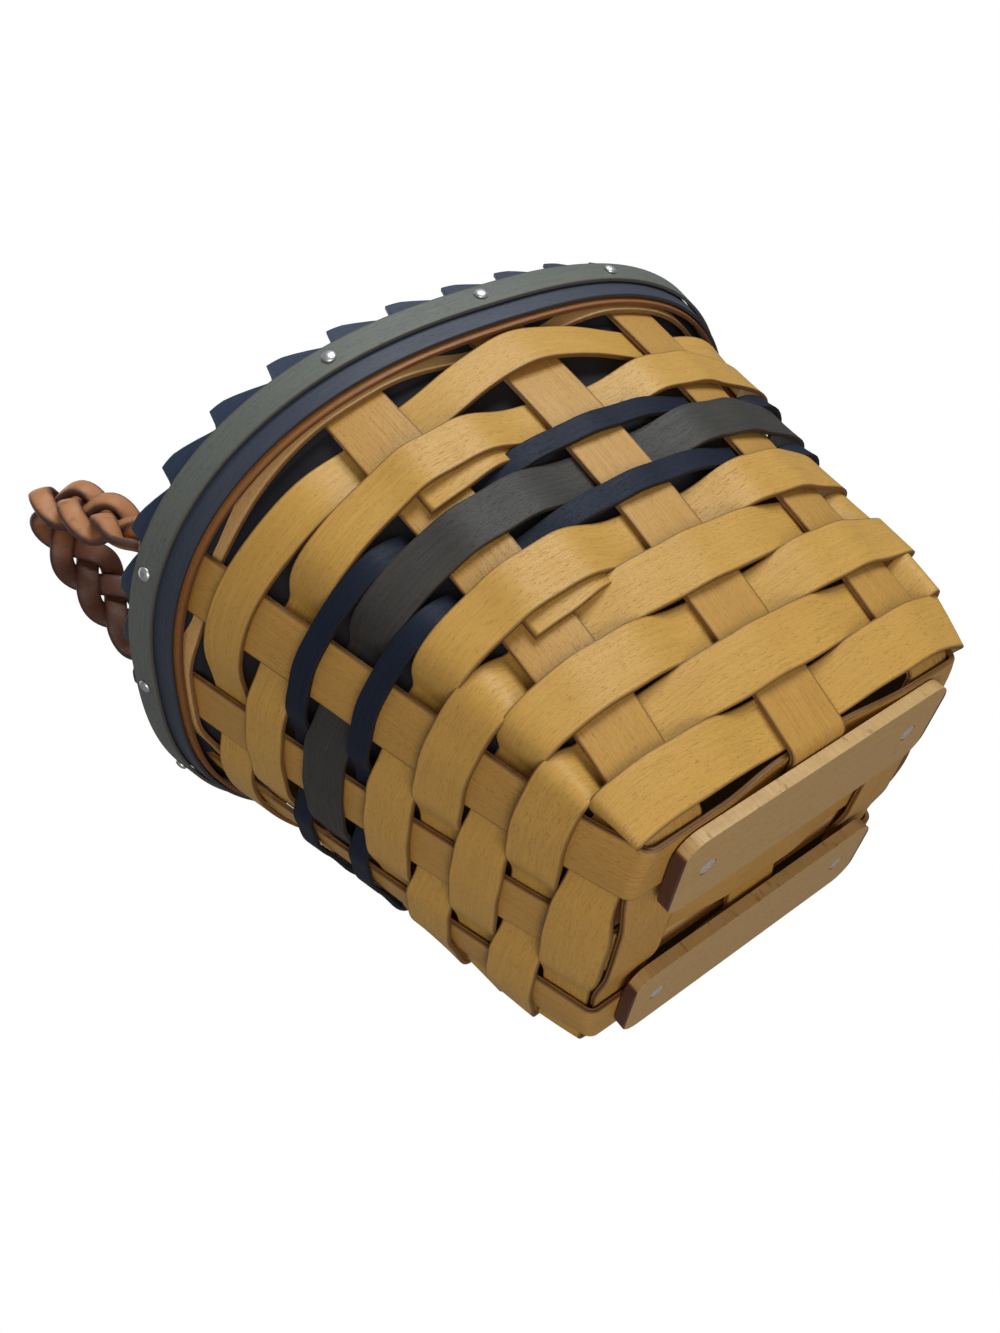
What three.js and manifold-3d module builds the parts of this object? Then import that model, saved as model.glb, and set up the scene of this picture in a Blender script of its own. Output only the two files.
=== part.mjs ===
// Splint basket: a small oblong basket woven from wooden splints, square at the base and oval at the rim.
// Six stakes cross under the base and run up the walls, eleven weavers go in and out of them, and two
// runners are nailed underneath. Layered rim bands and a scalloped trim strip finish the top, and a
// braided leather hanger stands up at each end.
// Millimetres, +Z up, origin on the floor under the middle of the base, front towards -Y.
import * as THREE from "three";
import { mergeVertices } from "three/addons/utils/BufferGeometryUtils.js";
import Module from "manifold-3d";

const wasm = await Module();
wasm.setup();

// Splint stock
const stakeWidth = 12.7;
const stakeThickness = 1.1;
const weaverWidth = 9.5;
const accentWidth = 4.75;
const lastWidth = 6.35;
const weaverThickness = 1.0;
const splintGap = 0.3;

// Base, measured to the middle of the wall splints
const baseLength = 80;
const baseWidth = 67;
const baseCrossSpacing = 31;
const baseLongSpacing = 24.4;
const baseBendRadius = 2.2;
const fillerEndGap = 2;

// Wall
const rimLength = 145.6;
const rimWidth = 120;
const endBulge = 1.2;
const frontBulge = 5;
const rimCrossSpacing = 33.7;
const rimLongSpacing = 28;
const baseSquareness = 12;
const rimSquareness = 2.5;
const squareHeight = 16;
const wallLean = 19;
const firstRowLift = 1.5;
const weaveBulge = 0.02;
const edgeMargin = 0.5;
const lapStep = 1.4;
const lapReach = 2.5;
const lapDrop = 3.4;
const sideEase = 0.45;
const cornerEaseOver = 0.75;
const cornerEaseUnder = 0.15;
const cornerTuck = 2;
const cornerDip = 0.2;
const looseGap = 1.8;
const lastGap = 3;
const looseDip = 1.4;
const topRowRise = 3.2;
const topRowStand = 1.8;

// Rim, heights measured from the top of the last weaver
const stakeAboveWeave = 3.2;
const hoopWidth = 11.1;
const hoopThickness = 0.9;
const hoopOverlap = 5.4;
const bandThickness = 0.8;
const bandGap = 0.25;
const blueBandWidth = 9.5;
const blueBandStep = 1.1;
const greenBandWidth = 6.35;
const greenBandStep = 4;
const innerHoopWidth = 11.5;
const innerHoopThickness = 1;
const trimThickness = 0.8;
const trimAboveBand = 7.2;
const toothCount = 34;
const toothPhase = 0.35;
const toothHeight = 3.9;

// Tacks and nails
const tackHeadRadius = 1.4;
const tackHeadHeight = 0.8;
const tackInset = 1.5;
const tackShankRadius = 0.5;
const fastenerGap = 0.15;
const nailHeadRadius = 1.7;
const nailHeadHeight = 0.7;
const nailShankRadius = 0.8;
const nailRecess = 0.3;

// Runners
const runnerLength = 67;
const runnerWidth = 20;
const runnerThickness = 2.5;
const runnerSpacing = 43.4;
const runnerCorner = 5;
const nailEndDistance = 7.7;
const nailSpacing = runnerLength - 2 * nailEndDistance;

// Leather hangers
const hangerHeight = 44;
const hangerSpread = 40;
const hangerSway = -11;
const hangerLean = 7;
const strandWidth = 3.4;
const strandThickness = 1.7;
const braidReach = 4.3;
const braidDepth = 2.35;
const braidTurns = 3;
const strandLead = 8;
const leanStart = 14;
const twistLength = 20;
const tabWidth = 11.2;
const tabHeight = 11;
const tabThickness = 2.2;
const tabGap = 0.75;
const tabCorner = 2;
const footGap = 0.95;
const rivetHeadRadius = 2.2;

// Derived levels. Heights called "height" run up from the middle of the base weave.
const weaveSwing = (stakeThickness + weaverThickness) / 2 + splintGap;
const baseSwing = (stakeThickness + splintGap) / 2;
const baseLevel = runnerThickness + splintGap + baseSwing + stakeThickness / 2;
const riseOfWidth = Math.cos(THREE.MathUtils.degToRad(wallLean));
const plainRows = Array(5).fill("natural");
const rowKinds = [...plainRows, "blue", "green", "blue", ...plainRows.slice(2)];
const lastRow = rowKinds.length - 1;
const topRow = lastRow - 1;
const rowWidths = rowKinds.map((kind, row) => {
  const plain = row === lastRow ? lastWidth : weaverWidth;
  return kind === "blue" ? accentWidth : plain;
});
const rowBottoms = [firstRowLift];
const widerGaps = { [topRow]: looseGap, [lastRow]: lastGap };
rowWidths.forEach((width, row) => {
  const gap = splintGap + (widerGaps[row + 1] ?? 0);
  rowBottoms.push(rowBottoms[row] + width * riseOfWidth + gap);
});
const weaveTop = rowBottoms[rowWidths.length] - splintGap;
const rimLevel = weaveTop + stakeAboveWeave;

const colours = {
  natural: { color: 0xc39a55, roughness: 0.55, metalness: 0 },
  brown: { color: 0x9a6434, roughness: 0.55, metalness: 0 },
  blue: { color: 0x35476b, roughness: 0.55, metalness: 0 },
  green: { color: 0x4b5650, roughness: 0.6, metalness: 0 },
  leather: { color: 0xa56f4a, roughness: 0.6, metalness: 0 },
  steel: { color: 0xb9bcc0, roughness: 0.35, metalness: 1 },
};

const basket = new THREE.Group();
const upright = new THREE.Vector3(0, 0, 1);
const lerp = THREE.MathUtils.lerp;

function addPiece(name, geometry, colour) {
  const mesh = new THREE.Mesh(geometry, new THREE.MeshStandardMaterial(colours[colour]));
  mesh.name = name;
  basket.add(mesh);
  return mesh;
}

// Wall outline

// Half length, half width and squareness of the wall's outline at one height.
function outlineAt(height) {
  const rise = height / rimLevel;
  const swell = 4 * rise * (1 - rise);
  return {
    length: lerp(baseLength, rimLength, rise) / 2 + endBulge * swell,
    width: lerp(baseWidth, rimWidth, rise) / 2 + frontBulge * swell,
    power: rimSquareness + (baseSquareness - rimSquareness) * Math.exp(-height / squareHeight),
  };
}

// Point of the wall at an angle round the basket, moved outwards by an offset.
function wallPoint(angle, height, offset = 0) {
  const { length, width, power } = outlineAt(height);
  const across = Math.cos(angle) / length;
  const along = Math.sin(angle) / width;
  const reach = (Math.abs(across) ** power + Math.abs(along) ** power) ** (-1 / power);
  const point = new THREE.Vector3(Math.cos(angle) * reach, Math.sin(angle) * reach, baseLevel + height);
  return point.addScaledVector(wallNormal(angle, height), offset);
}

// Level outward direction of the wall at an angle.
function wallNormal(angle, height) {
  const { length, width, power } = outlineAt(height);
  const x = Math.cos(angle) / length;
  const y = Math.sin(angle) / width;
  const normal = new THREE.Vector3(
    (Math.sign(x) * Math.abs(x) ** (power - 1)) / length,
    (Math.sign(y) * Math.abs(y) ** (power - 1)) / width,
    0,
  );
  return normal.normalize();
}

// Place on the leaning wall: the point, and the directions round the wall, up it and out of its face.
function wallPlace(angle, height, offset) {
  const point = wallPoint(angle, height, offset);
  const up = wallPoint(angle, height + 1, offset).sub(wallPoint(angle, height - 1, offset)).normalize();
  const round = upright.clone().cross(wallNormal(angle, height));
  up.addScaledVector(round, -up.dot(round)).normalize();
  return { point, round, up, out: round.clone().cross(up) };
}

// Angle reached by walking a distance round the wall at one height.
function walk(angle, height, distance) {
  const steps = 12;
  let turned = angle;
  for (let step = 0; step < steps; step += 1) {
    const here = wallPoint(turned - 0.002, height);
    const pace = here.distanceTo(wallPoint(turned + 0.002, height)) / 0.004;
    turned += distance / steps / pace;
  }
  return turned;
}

// Length of the way round the wall between two angles.
function distanceRound(from, to, height) {
  const marks = Array.from({ length: 13 }, (_, step) => wallPoint(lerp(from, to, step / 12), height));
  return marks.slice(1).reduce((sum, mark, at) => sum + mark.distanceTo(marks[at]), 0);
}

// The twelve stake legs in turning order from the middle of the right end. Even legs lie under the
// even weavers. Each leg knows its side and its place on that side.
const legs = [
  { side: "right", place: 0 },
  { side: "right", place: 1 },
  { side: "back", place: 1 },
  { side: "back", place: 0 },
  { side: "back", place: -1 },
  { side: "left", place: 1 },
  { side: "left", place: 0 },
  { side: "left", place: -1 },
  { side: "front", place: -1 },
  { side: "front", place: 0 },
  { side: "front", place: 1 },
  { side: "right", place: -1 },
];

// Angle of a leg's middle line at one height, growing from leg to leg.
function legAngle(index, height) {
  const turns = Math.floor(index / legs.length);
  const { side, place } = legs[index - turns * legs.length];
  const { length, width, power } = outlineAt(height);
  const rise = height / rimLevel;
  let x;
  let y;
  if (side === "left" || side === "right") {
    y = place * lerp(baseLongSpacing, rimLongSpacing, rise);
    x = length * (1 - Math.abs(y / width) ** power) ** (1 / power) * (side === "right" ? 1 : -1);
  } else {
    x = place * lerp(baseCrossSpacing, rimCrossSpacing, rise);
    y = width * (1 - Math.abs(x / length) ** power) ** (1 / power) * (side === "back" ? 1 : -1);
  }
  let angle = Math.atan2(y, x);
  if (angle < 0 && index % legs.length !== 0) angle += 2 * Math.PI;
  return angle + turns * 2 * Math.PI;
}

// Solids from sections

// Closed solid through a run of sections, each an even loop of points in the same order. A closed run
// joins its last section to its first, and an open one gets flat ends.
function loft(sections, closed = false) {
  const size = sections[0].length;
  const half = size / 2;
  const index = [];
  const runs = closed ? sections.length : sections.length - 1;
  for (let run = 0; run < runs; run += 1) {
    const here = run * size;
    const next = ((run + 1) % sections.length) * size;
    for (let point = 0; point < size; point += 1) {
      const other = (point + 1) % size;
      index.push(here + point, here + other, next + point);
      index.push(here + other, next + other, next + point);
    }
  }
  if (!closed) {
    const end = (sections.length - 1) * size;
    for (let point = 0; point < half - 1; point += 1) {
      const quad = [point, point + 1, size - 2 - point, size - 1 - point];
      index.push(quad[0], quad[2], quad[1], quad[0], quad[3], quad[2]);
      index.push(end + quad[0], end + quad[1], end + quad[2], end + quad[0], end + quad[2], end + quad[3]);
    }
  }
  const geometry = new THREE.BufferGeometry();
  const position = new Float32Array(sections.flat().flatMap((point) => point.toArray()));
  geometry.setAttribute("position", new THREE.BufferAttribute(position, 3));
  geometry.setIndex(signedVolume(position, index) < 0 ? index.toReversed() : index);
  geometry.computeVertexNormals();
  return geometry;
}

function signedVolume(position, index) {
  const corners = [new THREE.Vector3(), new THREE.Vector3(), new THREE.Vector3()];
  let volume = 0;
  for (let face = 0; face < index.length; face += 3) {
    corners.forEach((corner, side) => corner.fromArray(position, index[face + side] * 3));
    volume += corners[0].dot(corners[1].cross(corners[2])) / 6;
  }
  return volume;
}

function toSolid(geometry) {
  const bare = new THREE.BufferGeometry();
  bare.setAttribute("position", geometry.getAttribute("position"));
  if (geometry.index) bare.setIndex(geometry.index);
  const merged = mergeVertices(bare, 1e-4);
  const vertProperties = new Float32Array(merged.getAttribute("position").array);
  const triVerts = new Uint32Array(merged.index.array);
  return new wasm.Manifold(new wasm.Mesh({ numProp: 3, vertProperties, triVerts }));
}

function cutAway(geometry, cutters) {
  const solid = cutters.reduce((body, cutter) => body.subtract(toSolid(cutter)), toSolid(geometry));
  const mesh = solid.getMesh();
  const cut = new THREE.BufferGeometry();
  cut.setAttribute("position", new THREE.BufferAttribute(new Float32Array(mesh.vertProperties), 3));
  cut.setIndex([...mesh.triVerts]);
  cut.computeVertexNormals();
  return cut;
}

// Strip standing between a lower and an upper rail. Its thickness is measured square to its own run,
// so it keeps its gauge where it swings in and out.
function strip(rails, thickness, closed) {
  const across = rails.map((rail) =>
    rail.map((_, at) => {
      const before = closed ? rail.at(at - 1) : rail[Math.max(at - 1, 0)];
      const after = closed ? rail[(at + 1) % rail.length] : rail[Math.min(at + 1, rail.length - 1)];
      return after.clone().sub(before).setZ(0).normalize().cross(upright);
    }),
  );
  const sections = rails[0].map((_, at) => {
    const corner = (rail, side) =>
      rails[rail][at].clone().addScaledVector(across[rail][at], (side * thickness) / 2);
    return [corner(0, 1), corner(1, 1), corner(1, -1), corner(0, -1)];
  });
  return loft(sections, closed);
}

// Stakes

// Rails of a leg at one height: its middle line and both edges, in turning order.
function legRails(index, height) {
  const middle = legAngle(index, height);
  return [-1, 0, 1].map((edge) => wallPoint(walk(middle, height, (edge * stakeWidth) / 2), height));
}

// Rounded corner from a wall rail into the base, as points from the wall to the base.
function bendPoints(wallLow, wallHigh, inward, level) {
  const down = wallLow.clone().sub(wallHigh).normalize();
  const corner = wallLow.clone().addScaledVector(down, (level - wallLow.z) / down.z);
  const turn = down.angleTo(inward);
  const trim = baseBendRadius * Math.tan(turn / 2);
  const start = corner.clone().addScaledVector(down, -trim);
  const bisector = inward.clone().sub(down).normalize();
  const centre = corner.clone().addScaledVector(bisector, baseBendRadius / Math.cos(turn / 2));
  const axis = down.clone().cross(inward).normalize();
  const spoke = start.sub(centre);
  const steps = 4;
  return Array.from({ length: steps + 1 }, (_, step) =>
    spoke.clone().applyAxisAngle(axis, (turn * step) / steps).add(centre),
  );
}

// Stake that runs down one wall, under the base and up the opposite wall. Across the base it dips below
// or rises above the stakes that cross it.
function stake(firstLeg, secondLeg, runAxis, place) {
  const crossSpacing = runAxis === "y" ? baseLongSpacing : baseCrossSpacing;
  const homeSpacing = runAxis === "y" ? baseCrossSpacing : baseLongSpacing;
  const levelAt = (crossing) => {
    const above = (place + crossing) % 2 === 0;
    return baseLevel + (above === (runAxis === "y") ? baseSwing : -baseSwing);
  };
  const wallSteps = 7;
  const lowest = 4.6;
  const heights = Array.from({ length: wallSteps + 1 }, (_, step) => {
    return lerp(rimLevel, lowest, step / wallSteps);
  });
  const inward = new THREE.Vector3(runAxis === "x" ? 1 : 0, runAxis === "y" ? 1 : 0, 0);
  const flip = runAxis === "x";
  const sections = [];

  const sideRun = (leg, direction, swap) => {
    const ordered = (height) => (swap ? legRails(leg, height).reverse() : legRails(leg, height));
    const wall = heights.map(ordered);
    const above = ordered(lowest + 3);
    const bends = wall.at(-1).map((low, rail) => bendPoints(low, above[rail], direction, levelAt(1)));
    const bend = bends[0].map((_, step) => bends.map((points) => points[step]));
    return [...wall, ...bend];
  };
  const basePoints = (along, level) =>
    [-1, 0, 1].map((edge) => {
      const home = place * homeSpacing + (edge * stakeWidth) / 2;
      const point = new THREE.Vector3(along, home, level);
      return runAxis === "y" ? point.set(home, along, level) : point;
    });
  const reach = stakeWidth / 2 + edgeMargin;
  const first = sideRun(firstLeg, inward, flip);
  const second = sideRun(secondLeg, inward.clone().negate(), !flip);
  const base = [
    [-crossSpacing + reach, levelAt(1)],
    [-reach, levelAt(0)],
    [reach, levelAt(0)],
    [crossSpacing - reach, levelAt(1)],
  ].map(([along, level]) => basePoints(along, level));
  const run = [...first, ...base, ...second.reverse()];

  run.forEach((rails, at) => {
    const before = run[Math.max(at - 1, 0)];
    const after = run[Math.min(at + 1, run.length - 1)];
    const width = rails[2].clone().sub(rails[0]).normalize();
    const faces = rails.map((point, rail) => {
      const tangent = after[rail].clone().sub(before[rail]).normalize();
      return tangent.cross(width).normalize().multiplyScalar(stakeThickness / 2);
    });
    const outer = rails.map((point, rail) => point.clone().add(faces[rail]));
    const inner = rails.map((point, rail) => point.clone().sub(faces[rail]));
    sections.push([...outer, ...inner.reverse()]);
  });
  return loft(sections);
}

addPiece("cross_stake_left", stake(8, 4, "y", -1), "natural");
addPiece("cross_stake_middle", stake(9, 3, "y", 0), "natural");
addPiece("cross_stake_right", stake(10, 2, "y", 1), "natural");
addPiece("long_stake_front", stake(7, 11, "x", -1), "natural");
addPiece("long_stake_middle", stake(6, 0, "x", 0), "natural");
addPiece("long_stake_back", stake(5, 1, "x", 1), "natural");

// Filler splints inside on the base. They close the openings between the long stakes.
const fillerLength = baseLength - 2 * fillerEndGap;
const fillerWidth = baseLongSpacing - stakeWidth - 2 * splintGap;
const fillerLevel = baseLevel + baseSwing + (stakeThickness + weaverThickness) / 2 + splintGap;
for (const [side, sign] of [["front", -1], ["back", 1]]) {
  const filler = new THREE.BoxGeometry(fillerLength, fillerWidth, weaverThickness);
  filler.translate(0, (sign * baseLongSpacing) / 2, fillerLevel);
  addPiece(`base_filler_${side}`, filler, "natural");
}

// Weavers

// Edge of a leg at one height, held off the wall by an offset, with the direction across the leg's face.
function legEdge(leg, height, edge, offset) {
  const middle = legAngle(leg, height);
  const reach = stakeWidth / 2 + edgeMargin;
  const ends = [-reach, reach].map((distance) => walk(middle, height, distance));
  const run = wallPoint(ends[1], height).sub(wallPoint(ends[0], height)).normalize();
  return { angle: ends[edge], point: wallPoint(ends[edge], height, offset), run };
}

// Moves a point up along the wall by a rise.
function slideUp(point, angle, height, rise) {
  return point.add(wallPoint(angle, height + rise)).sub(wallPoint(angle, height));
}

// Rise of the top free weaver where it arches over the middle of a long side, just under the hoop.
function archRise(row, leg) {
  const { side, place } = legs[leg % legs.length];
  const longSide = side === "front" || side === "back";
  const over = (leg + row) % 2 === 0;
  return row === topRow && longSide && over && place === 0 ? topRowRise : 0;
}

// One rail of a weaver, from a leg that it covers to just past the next leg that it goes behind, so that
// its ends lap there. It lies flat on each leg and swings from one to the next in an even curve. Round a
// corner it stands out further on the side where it covers the leg, tucks in deeper on the other side
// and hangs a little, the more the higher it is. The last weaver is held between the hoops, so it keeps
// close to the wall and its ends butt together behind a leg. Two weavers lap in front of the left leg of
// the front, where the cut start lies under the other end and shows below it.
function weaverRail(row, height) {
  const held = row === lastRow;
  const dip = held ? 0 : cornerDip * row + (row === topRow ? looseDip : 0);
  const lapShows = row === 4 || row === 8;
  const firstLeg = lapShows ? 8 : 2 + (row % 2);
  const rail = [];
  for (let step = 0; step <= legs.length; step += 1) {
    const leg = firstLeg + step;
    const side = (leg + row) % 2 === 0 ? 1 : -1;
    const tuck = [0, 0];
    if (!held && step <= 1) tuck[0] = lapStep;
    if (!held && step === 0) tuck[1] = lapStep;
    if (lapShows && step === 0) tuck[0] = 0;
    if (lapShows && step === legs.length - 1) tuck[1] = -lapStep;
    if (lapShows && step === legs.length) tuck[0] = -lapStep;
    const nextAngle = legAngle(leg + 1, height);
    if (held && step === 0) {
      rail.push(wallPoint(walk(nextAngle, height, splintGap), height, -side * weaveSwing));
      continue;
    }
    const corner = legs[leg % legs.length].side !== legs[(leg + 1) % legs.length].side;
    const deeper = corner && !held ? cornerTuck : 0;
    const inside = side < 0 ? [deeper, 0] : [0, deeper];
    const leave = legEdge(leg, height, 1, side * weaveSwing - tuck[0] - inside[0]);
    const settle = tuck[1] < 0 ? tuck[1] / 2 : tuck[1];
    const arrive = legEdge(leg + 1, height, 0, -side * weaveSwing - settle - inside[1]);
    const gap = leave.point.distanceTo(arrive.point);
    const ease = corner ? [cornerEaseOver, cornerEaseUnder] : [sideEase, sideEase];
    if (side < 0) ease.reverse();
    const swing = new THREE.CubicBezierCurve3(
      leave.point,
      leave.point.clone().addScaledVector(leave.run, ease[0] * gap),
      arrive.point.clone().addScaledVector(arrive.run, -ease[1] * gap),
      arrive.point,
    );
    const arches = [step === 0 ? 0 : archRise(row, leg), archRise(row, leg + 1)];
    const lapStarts = lapShows && step === 0;
    const shaped = lapStarts || arches[0] + arches[1] > 0;
    if (lapStarts) {
      const angle = walk(legAngle(leg, height), height, -lapReach);
      rail.push(slideUp(wallPoint(angle, height, weaveSwing), angle, height, -lapDrop));
    }
    const riseAt = (part) => {
      const near = [1 - part, part].map((way) => 0.85 * THREE.MathUtils.smoothstep(way, 0.1, 1));
      const hang = corner ? dip * Math.sin(Math.PI * part) ** 2 : 0;
      const drop = lapStarts ? lapDrop * Math.max(1 - 3 * part, 0) ** 1.5 : 0;
      return arches[0] * near[0] + arches[1] * near[1] - hang - drop;
    };
    const placeAt = (share) => {
      const even = lerp(leave.angle, arrive.angle, share);
      if (held) return wallPoint(even, height, lerp(side, -side, share) * weaveSwing);
      const point = swing.getPoint(share);
      const turn = Math.atan2(point.y, point.x) - leave.angle;
      const angle = leave.angle + THREE.MathUtils.euclideanModulo(turn + Math.PI, 2 * Math.PI) - Math.PI;
      const part = (angle - leave.angle) / (arrive.angle - leave.angle);
      return slideUp(point, angle, height, riseAt(THREE.MathUtils.clamp(part, 0, 1)));
    };
    const sideShares = shaped ? [0, 0.25, 0.5, 0.75, 1] : [0, 0.5, 1];
    rail.push(...(corner ? [0, 0.36, 0.7, 1] : sideShares).map(placeAt));
    const spacing = distanceRound(legAngle(leg, height), nextAngle, height);
    const stand = arches[1] > 0 ? topRowStand : 0;
    const crown = weaveSwing + stand + (held ? 0 : weaveBulge * spacing);
    const end = step === legs.length ? walk(nextAngle, height, -splintGap) : nextAngle;
    rail.push(slideUp(wallPoint(end, height, -side * crown - tuck[1]), end, height, arches[1]));
  }
  return rail;
}

rowKinds.forEach((kind, row) => {
  const number = String(row + 1).padStart(2, "0");
  const edges = [rowBottoms[row], rowBottoms[row] + rowWidths[row] * riseOfWidth];
  const rails = edges.map((height) => weaverRail(row, height));
  addPiece(`weaver_${number}_${kind}`, strip(rails, weaverThickness, false), kind);
});

// Rim bands

const rimAngles = legs.flatMap((_, leg) => {
  const here = legAngle(leg, rimLevel);
  const next = legAngle(leg + 1, rimLevel);
  const corner = legs[leg].side !== legs[(leg + 1) % legs.length].side;
  const shares = corner ? [0, 0.2, 0.4, 0.6, 0.8] : [0, 0.3, 0.7];
  return shares.map((share) => lerp(here, next, share));
});

function band(bottom, width, offset, thickness) {
  const rails = [bottom, bottom + width * riseOfWidth].map((height) =>
    rimAngles.map((angle) => wallPoint(angle, height, offset)),
  );
  return strip(rails, thickness, true);
}

const weaveFace = weaveSwing + weaverThickness / 2;
const hoopBottom = weaveTop - hoopOverlap;
const hoopOffset = weaveFace + splintGap + hoopThickness / 2;
const blueBottom = hoopBottom + blueBandStep;
const blueOffset = hoopOffset + (hoopThickness + bandThickness) / 2 + bandGap;
const greenBottom = blueBottom + greenBandStep;
const greenOffset = blueOffset + bandThickness + bandGap;
const greenMiddle = greenBottom + (greenBandWidth * riseOfWidth) / 2;
const bandTop = greenBottom + greenBandWidth * riseOfWidth;
const innerOffset = -(weaveFace + splintGap + innerHoopThickness / 2);
const innerBottom = bandTop - innerHoopWidth * riseOfWidth;

// Places round the rim where a tack goes through the outer bands into a stake.
const tackPlaces = legs.map((_, leg) => {
  const offset = greenOffset + bandThickness / 2;
  const towardsMiddle = legs[leg].side === "front" || legs[leg].side === "right" ? -tackInset : tackInset;
  const angle = walk(legAngle(leg, greenMiddle), greenMiddle, legs[leg].place * towardsMiddle);
  const { point, out } = wallPlace(angle, greenMiddle, offset);
  const turn = new THREE.Quaternion().setFromUnitVectors(new THREE.Vector3(0, 1, 0), out);
  return { seat: point.addScaledVector(out, fastenerGap), turn };
});
const tackLength = greenOffset + bandThickness / 2 + fastenerGap - (hoopOffset - hoopThickness / 2);
const tackHoles = tackPlaces.map(({ seat, turn }) => {
  const side = 2 * (tackShankRadius + splintGap);
  const hole = new THREE.BoxGeometry(side, 4 * tackLength, side);
  return hole.applyQuaternion(turn).translate(seat.x, seat.y, seat.z);
});

const hoop = band(hoopBottom, hoopWidth, hoopOffset, hoopThickness);
const blueBand = band(blueBottom, blueBandWidth, blueOffset, bandThickness);
const greenBand = band(greenBottom, greenBandWidth, greenOffset, bandThickness);
const outerPieces = [
  ["rim_hoop_outer", hoop, "brown"],
  ["rim_band_blue", blueBand, "blue"],
  ["rim_band_green", greenBand, "green"],
];
outerPieces.forEach(([name, geometry, colour]) => {
  addPiece(name, cutAway(geometry, tackHoles), colour);
});

function roundTack(headRadius, headHeight, shankRadius, length) {
  const profile = [
    [0, -length],
    [shankRadius, -length],
    [shankRadius, 0],
    [headRadius, 0],
    [headRadius * 0.75, headHeight * 0.7],
    [0, headHeight],
  ];
  return new THREE.LatheGeometry(
    profile.map(([radius, height]) => new THREE.Vector2(radius, height)),
    7,
  );
}

tackPlaces.forEach(({ seat, turn }, at) => {
  const tack = roundTack(tackHeadRadius, tackHeadHeight, tackShankRadius, tackLength);
  const mesh = addPiece(`rim_tack_${String(at + 1).padStart(2, "0")}`, tack, "steel");
  mesh.position.copy(seat);
  mesh.quaternion.copy(turn);
});

// Scalloped trim strip between the stake tops and the outer hoop. Each tooth falls away gently from
// its tip and the next one rises steeply.
const trimBottom = weaveTop + splintGap + 0.4;
const trimTop = bandTop + trimAboveBand;
const trimOffset = (stakeThickness / 2 + hoopOffset - hoopThickness / 2) / 2 - 0.1;
const toothShape = [
  [0, 0],
  [0.25, 0.08],
  [0.88, 1],
];

function trimRails() {
  const fine = 720;
  const marks = Array.from({ length: fine + 1 }, (_, step) => (step / fine) * 2 * Math.PI);
  const lengths = [0];
  marks.slice(1).forEach((angle, at) => {
    lengths.push(lengths[at] + wallPoint(angle, bandTop).distanceTo(wallPoint(marks[at], bandTop)));
  });
  const angleFrom = (distance) => {
    const after = Math.max(lengths.findIndex((length) => length >= distance), 1);
    const share = (distance - lengths[after - 1]) / (lengths[after] - lengths[after - 1]);
    return lerp(marks[after - 1], marks[after], share);
  };
  const pitch = lengths[fine] / toothCount;
  const stations = Array.from({ length: toothCount }, (_, tooth) =>
    toothShape.map(([along, fall]) => {
      const place = ((tooth + along + toothPhase) * pitch) % lengths[fine];
      return [angleFrom(place), trimTop - fall * toothHeight];
    }),
  ).flat();
  return [
    stations.map(([angle]) => wallPoint(angle, trimBottom, trimOffset)),
    stations.map(([angle, top]) => wallPoint(angle, top, trimOffset)),
  ];
}

addPiece("rim_trim_scalloped", strip(trimRails(), trimThickness, true), "blue");

// Runners and their nails

const runnerShape = new THREE.Shape();
const endX = runnerLength / 2;
const sideY = runnerWidth / 2;
runnerShape.moveTo(-endX + runnerCorner, -sideY);
runnerShape.lineTo(endX - runnerCorner, -sideY);
runnerShape.absarc(endX - runnerCorner, -sideY + runnerCorner, runnerCorner, -Math.PI / 2, 0);
runnerShape.lineTo(endX, sideY - runnerCorner);
runnerShape.absarc(endX - runnerCorner, sideY - runnerCorner, runnerCorner, 0, Math.PI / 2);
runnerShape.lineTo(-endX + runnerCorner, sideY);
runnerShape.absarc(-endX + runnerCorner, sideY - runnerCorner, runnerCorner, Math.PI / 2, Math.PI);
runnerShape.lineTo(-endX, -sideY + runnerCorner);
runnerShape.absarc(-endX + runnerCorner, -sideY + runnerCorner, runnerCorner, Math.PI, 1.5 * Math.PI);

function roundBar(radius, bottom, top, x, y) {
  const bar = new THREE.CylinderGeometry(radius, radius, top - bottom, 8);
  return bar.rotateX(Math.PI / 2).translate(x, y, (bottom + top) / 2);
}

for (const [side, sign] of [["front", -1], ["back", 1]]) {
  const y = (sign * runnerSpacing) / 2;
  const slat = new THREE.ExtrudeGeometry(runnerShape, {
    depth: runnerThickness,
    bevelEnabled: false,
    curveSegments: 4,
  });
  slat.translate(0, y, 0);
  const nailHoles = [-1, 1].flatMap((end) => {
    const x = (end * nailSpacing) / 2;
    const headTop = nailRecess + nailHeadHeight + splintGap;
    return [
      roundBar(nailHeadRadius + splintGap, -1, headTop, x, y),
      roundBar(nailShankRadius + splintGap, 0, runnerThickness + 1, x, y),
    ];
  });
  addPiece(`runner_${side}`, cutAway(slat, nailHoles), "natural");
  for (const [end, sense] of [["left", -1], ["right", 1]]) {
    const length = runnerThickness - nailRecess - nailHeadHeight;
    const profile = [
      [0, -nailHeadHeight],
      [nailHeadRadius, -nailHeadHeight],
      [nailHeadRadius, 0],
      [nailShankRadius, 0],
      [nailShankRadius, length],
      [0, length],
    ].map(([radius, height]) => new THREE.Vector2(radius, height));
    const nail = new THREE.LatheGeometry(profile, 8);
    const mesh = addPiece(`runner_nail_${side}_${end}`, nail, "steel");
    mesh.position.set((sense * nailSpacing) / 2, y, nailRecess + nailHeadHeight);
    mesh.rotation.x = Math.PI / 2;
  }
}

// Leather hangers

const tabOffset = innerOffset - innerHoopThickness / 2 - tabGap - tabThickness / 2;
const tabMiddle = innerBottom + (innerHoopWidth * riseOfWidth) / 2;

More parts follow.
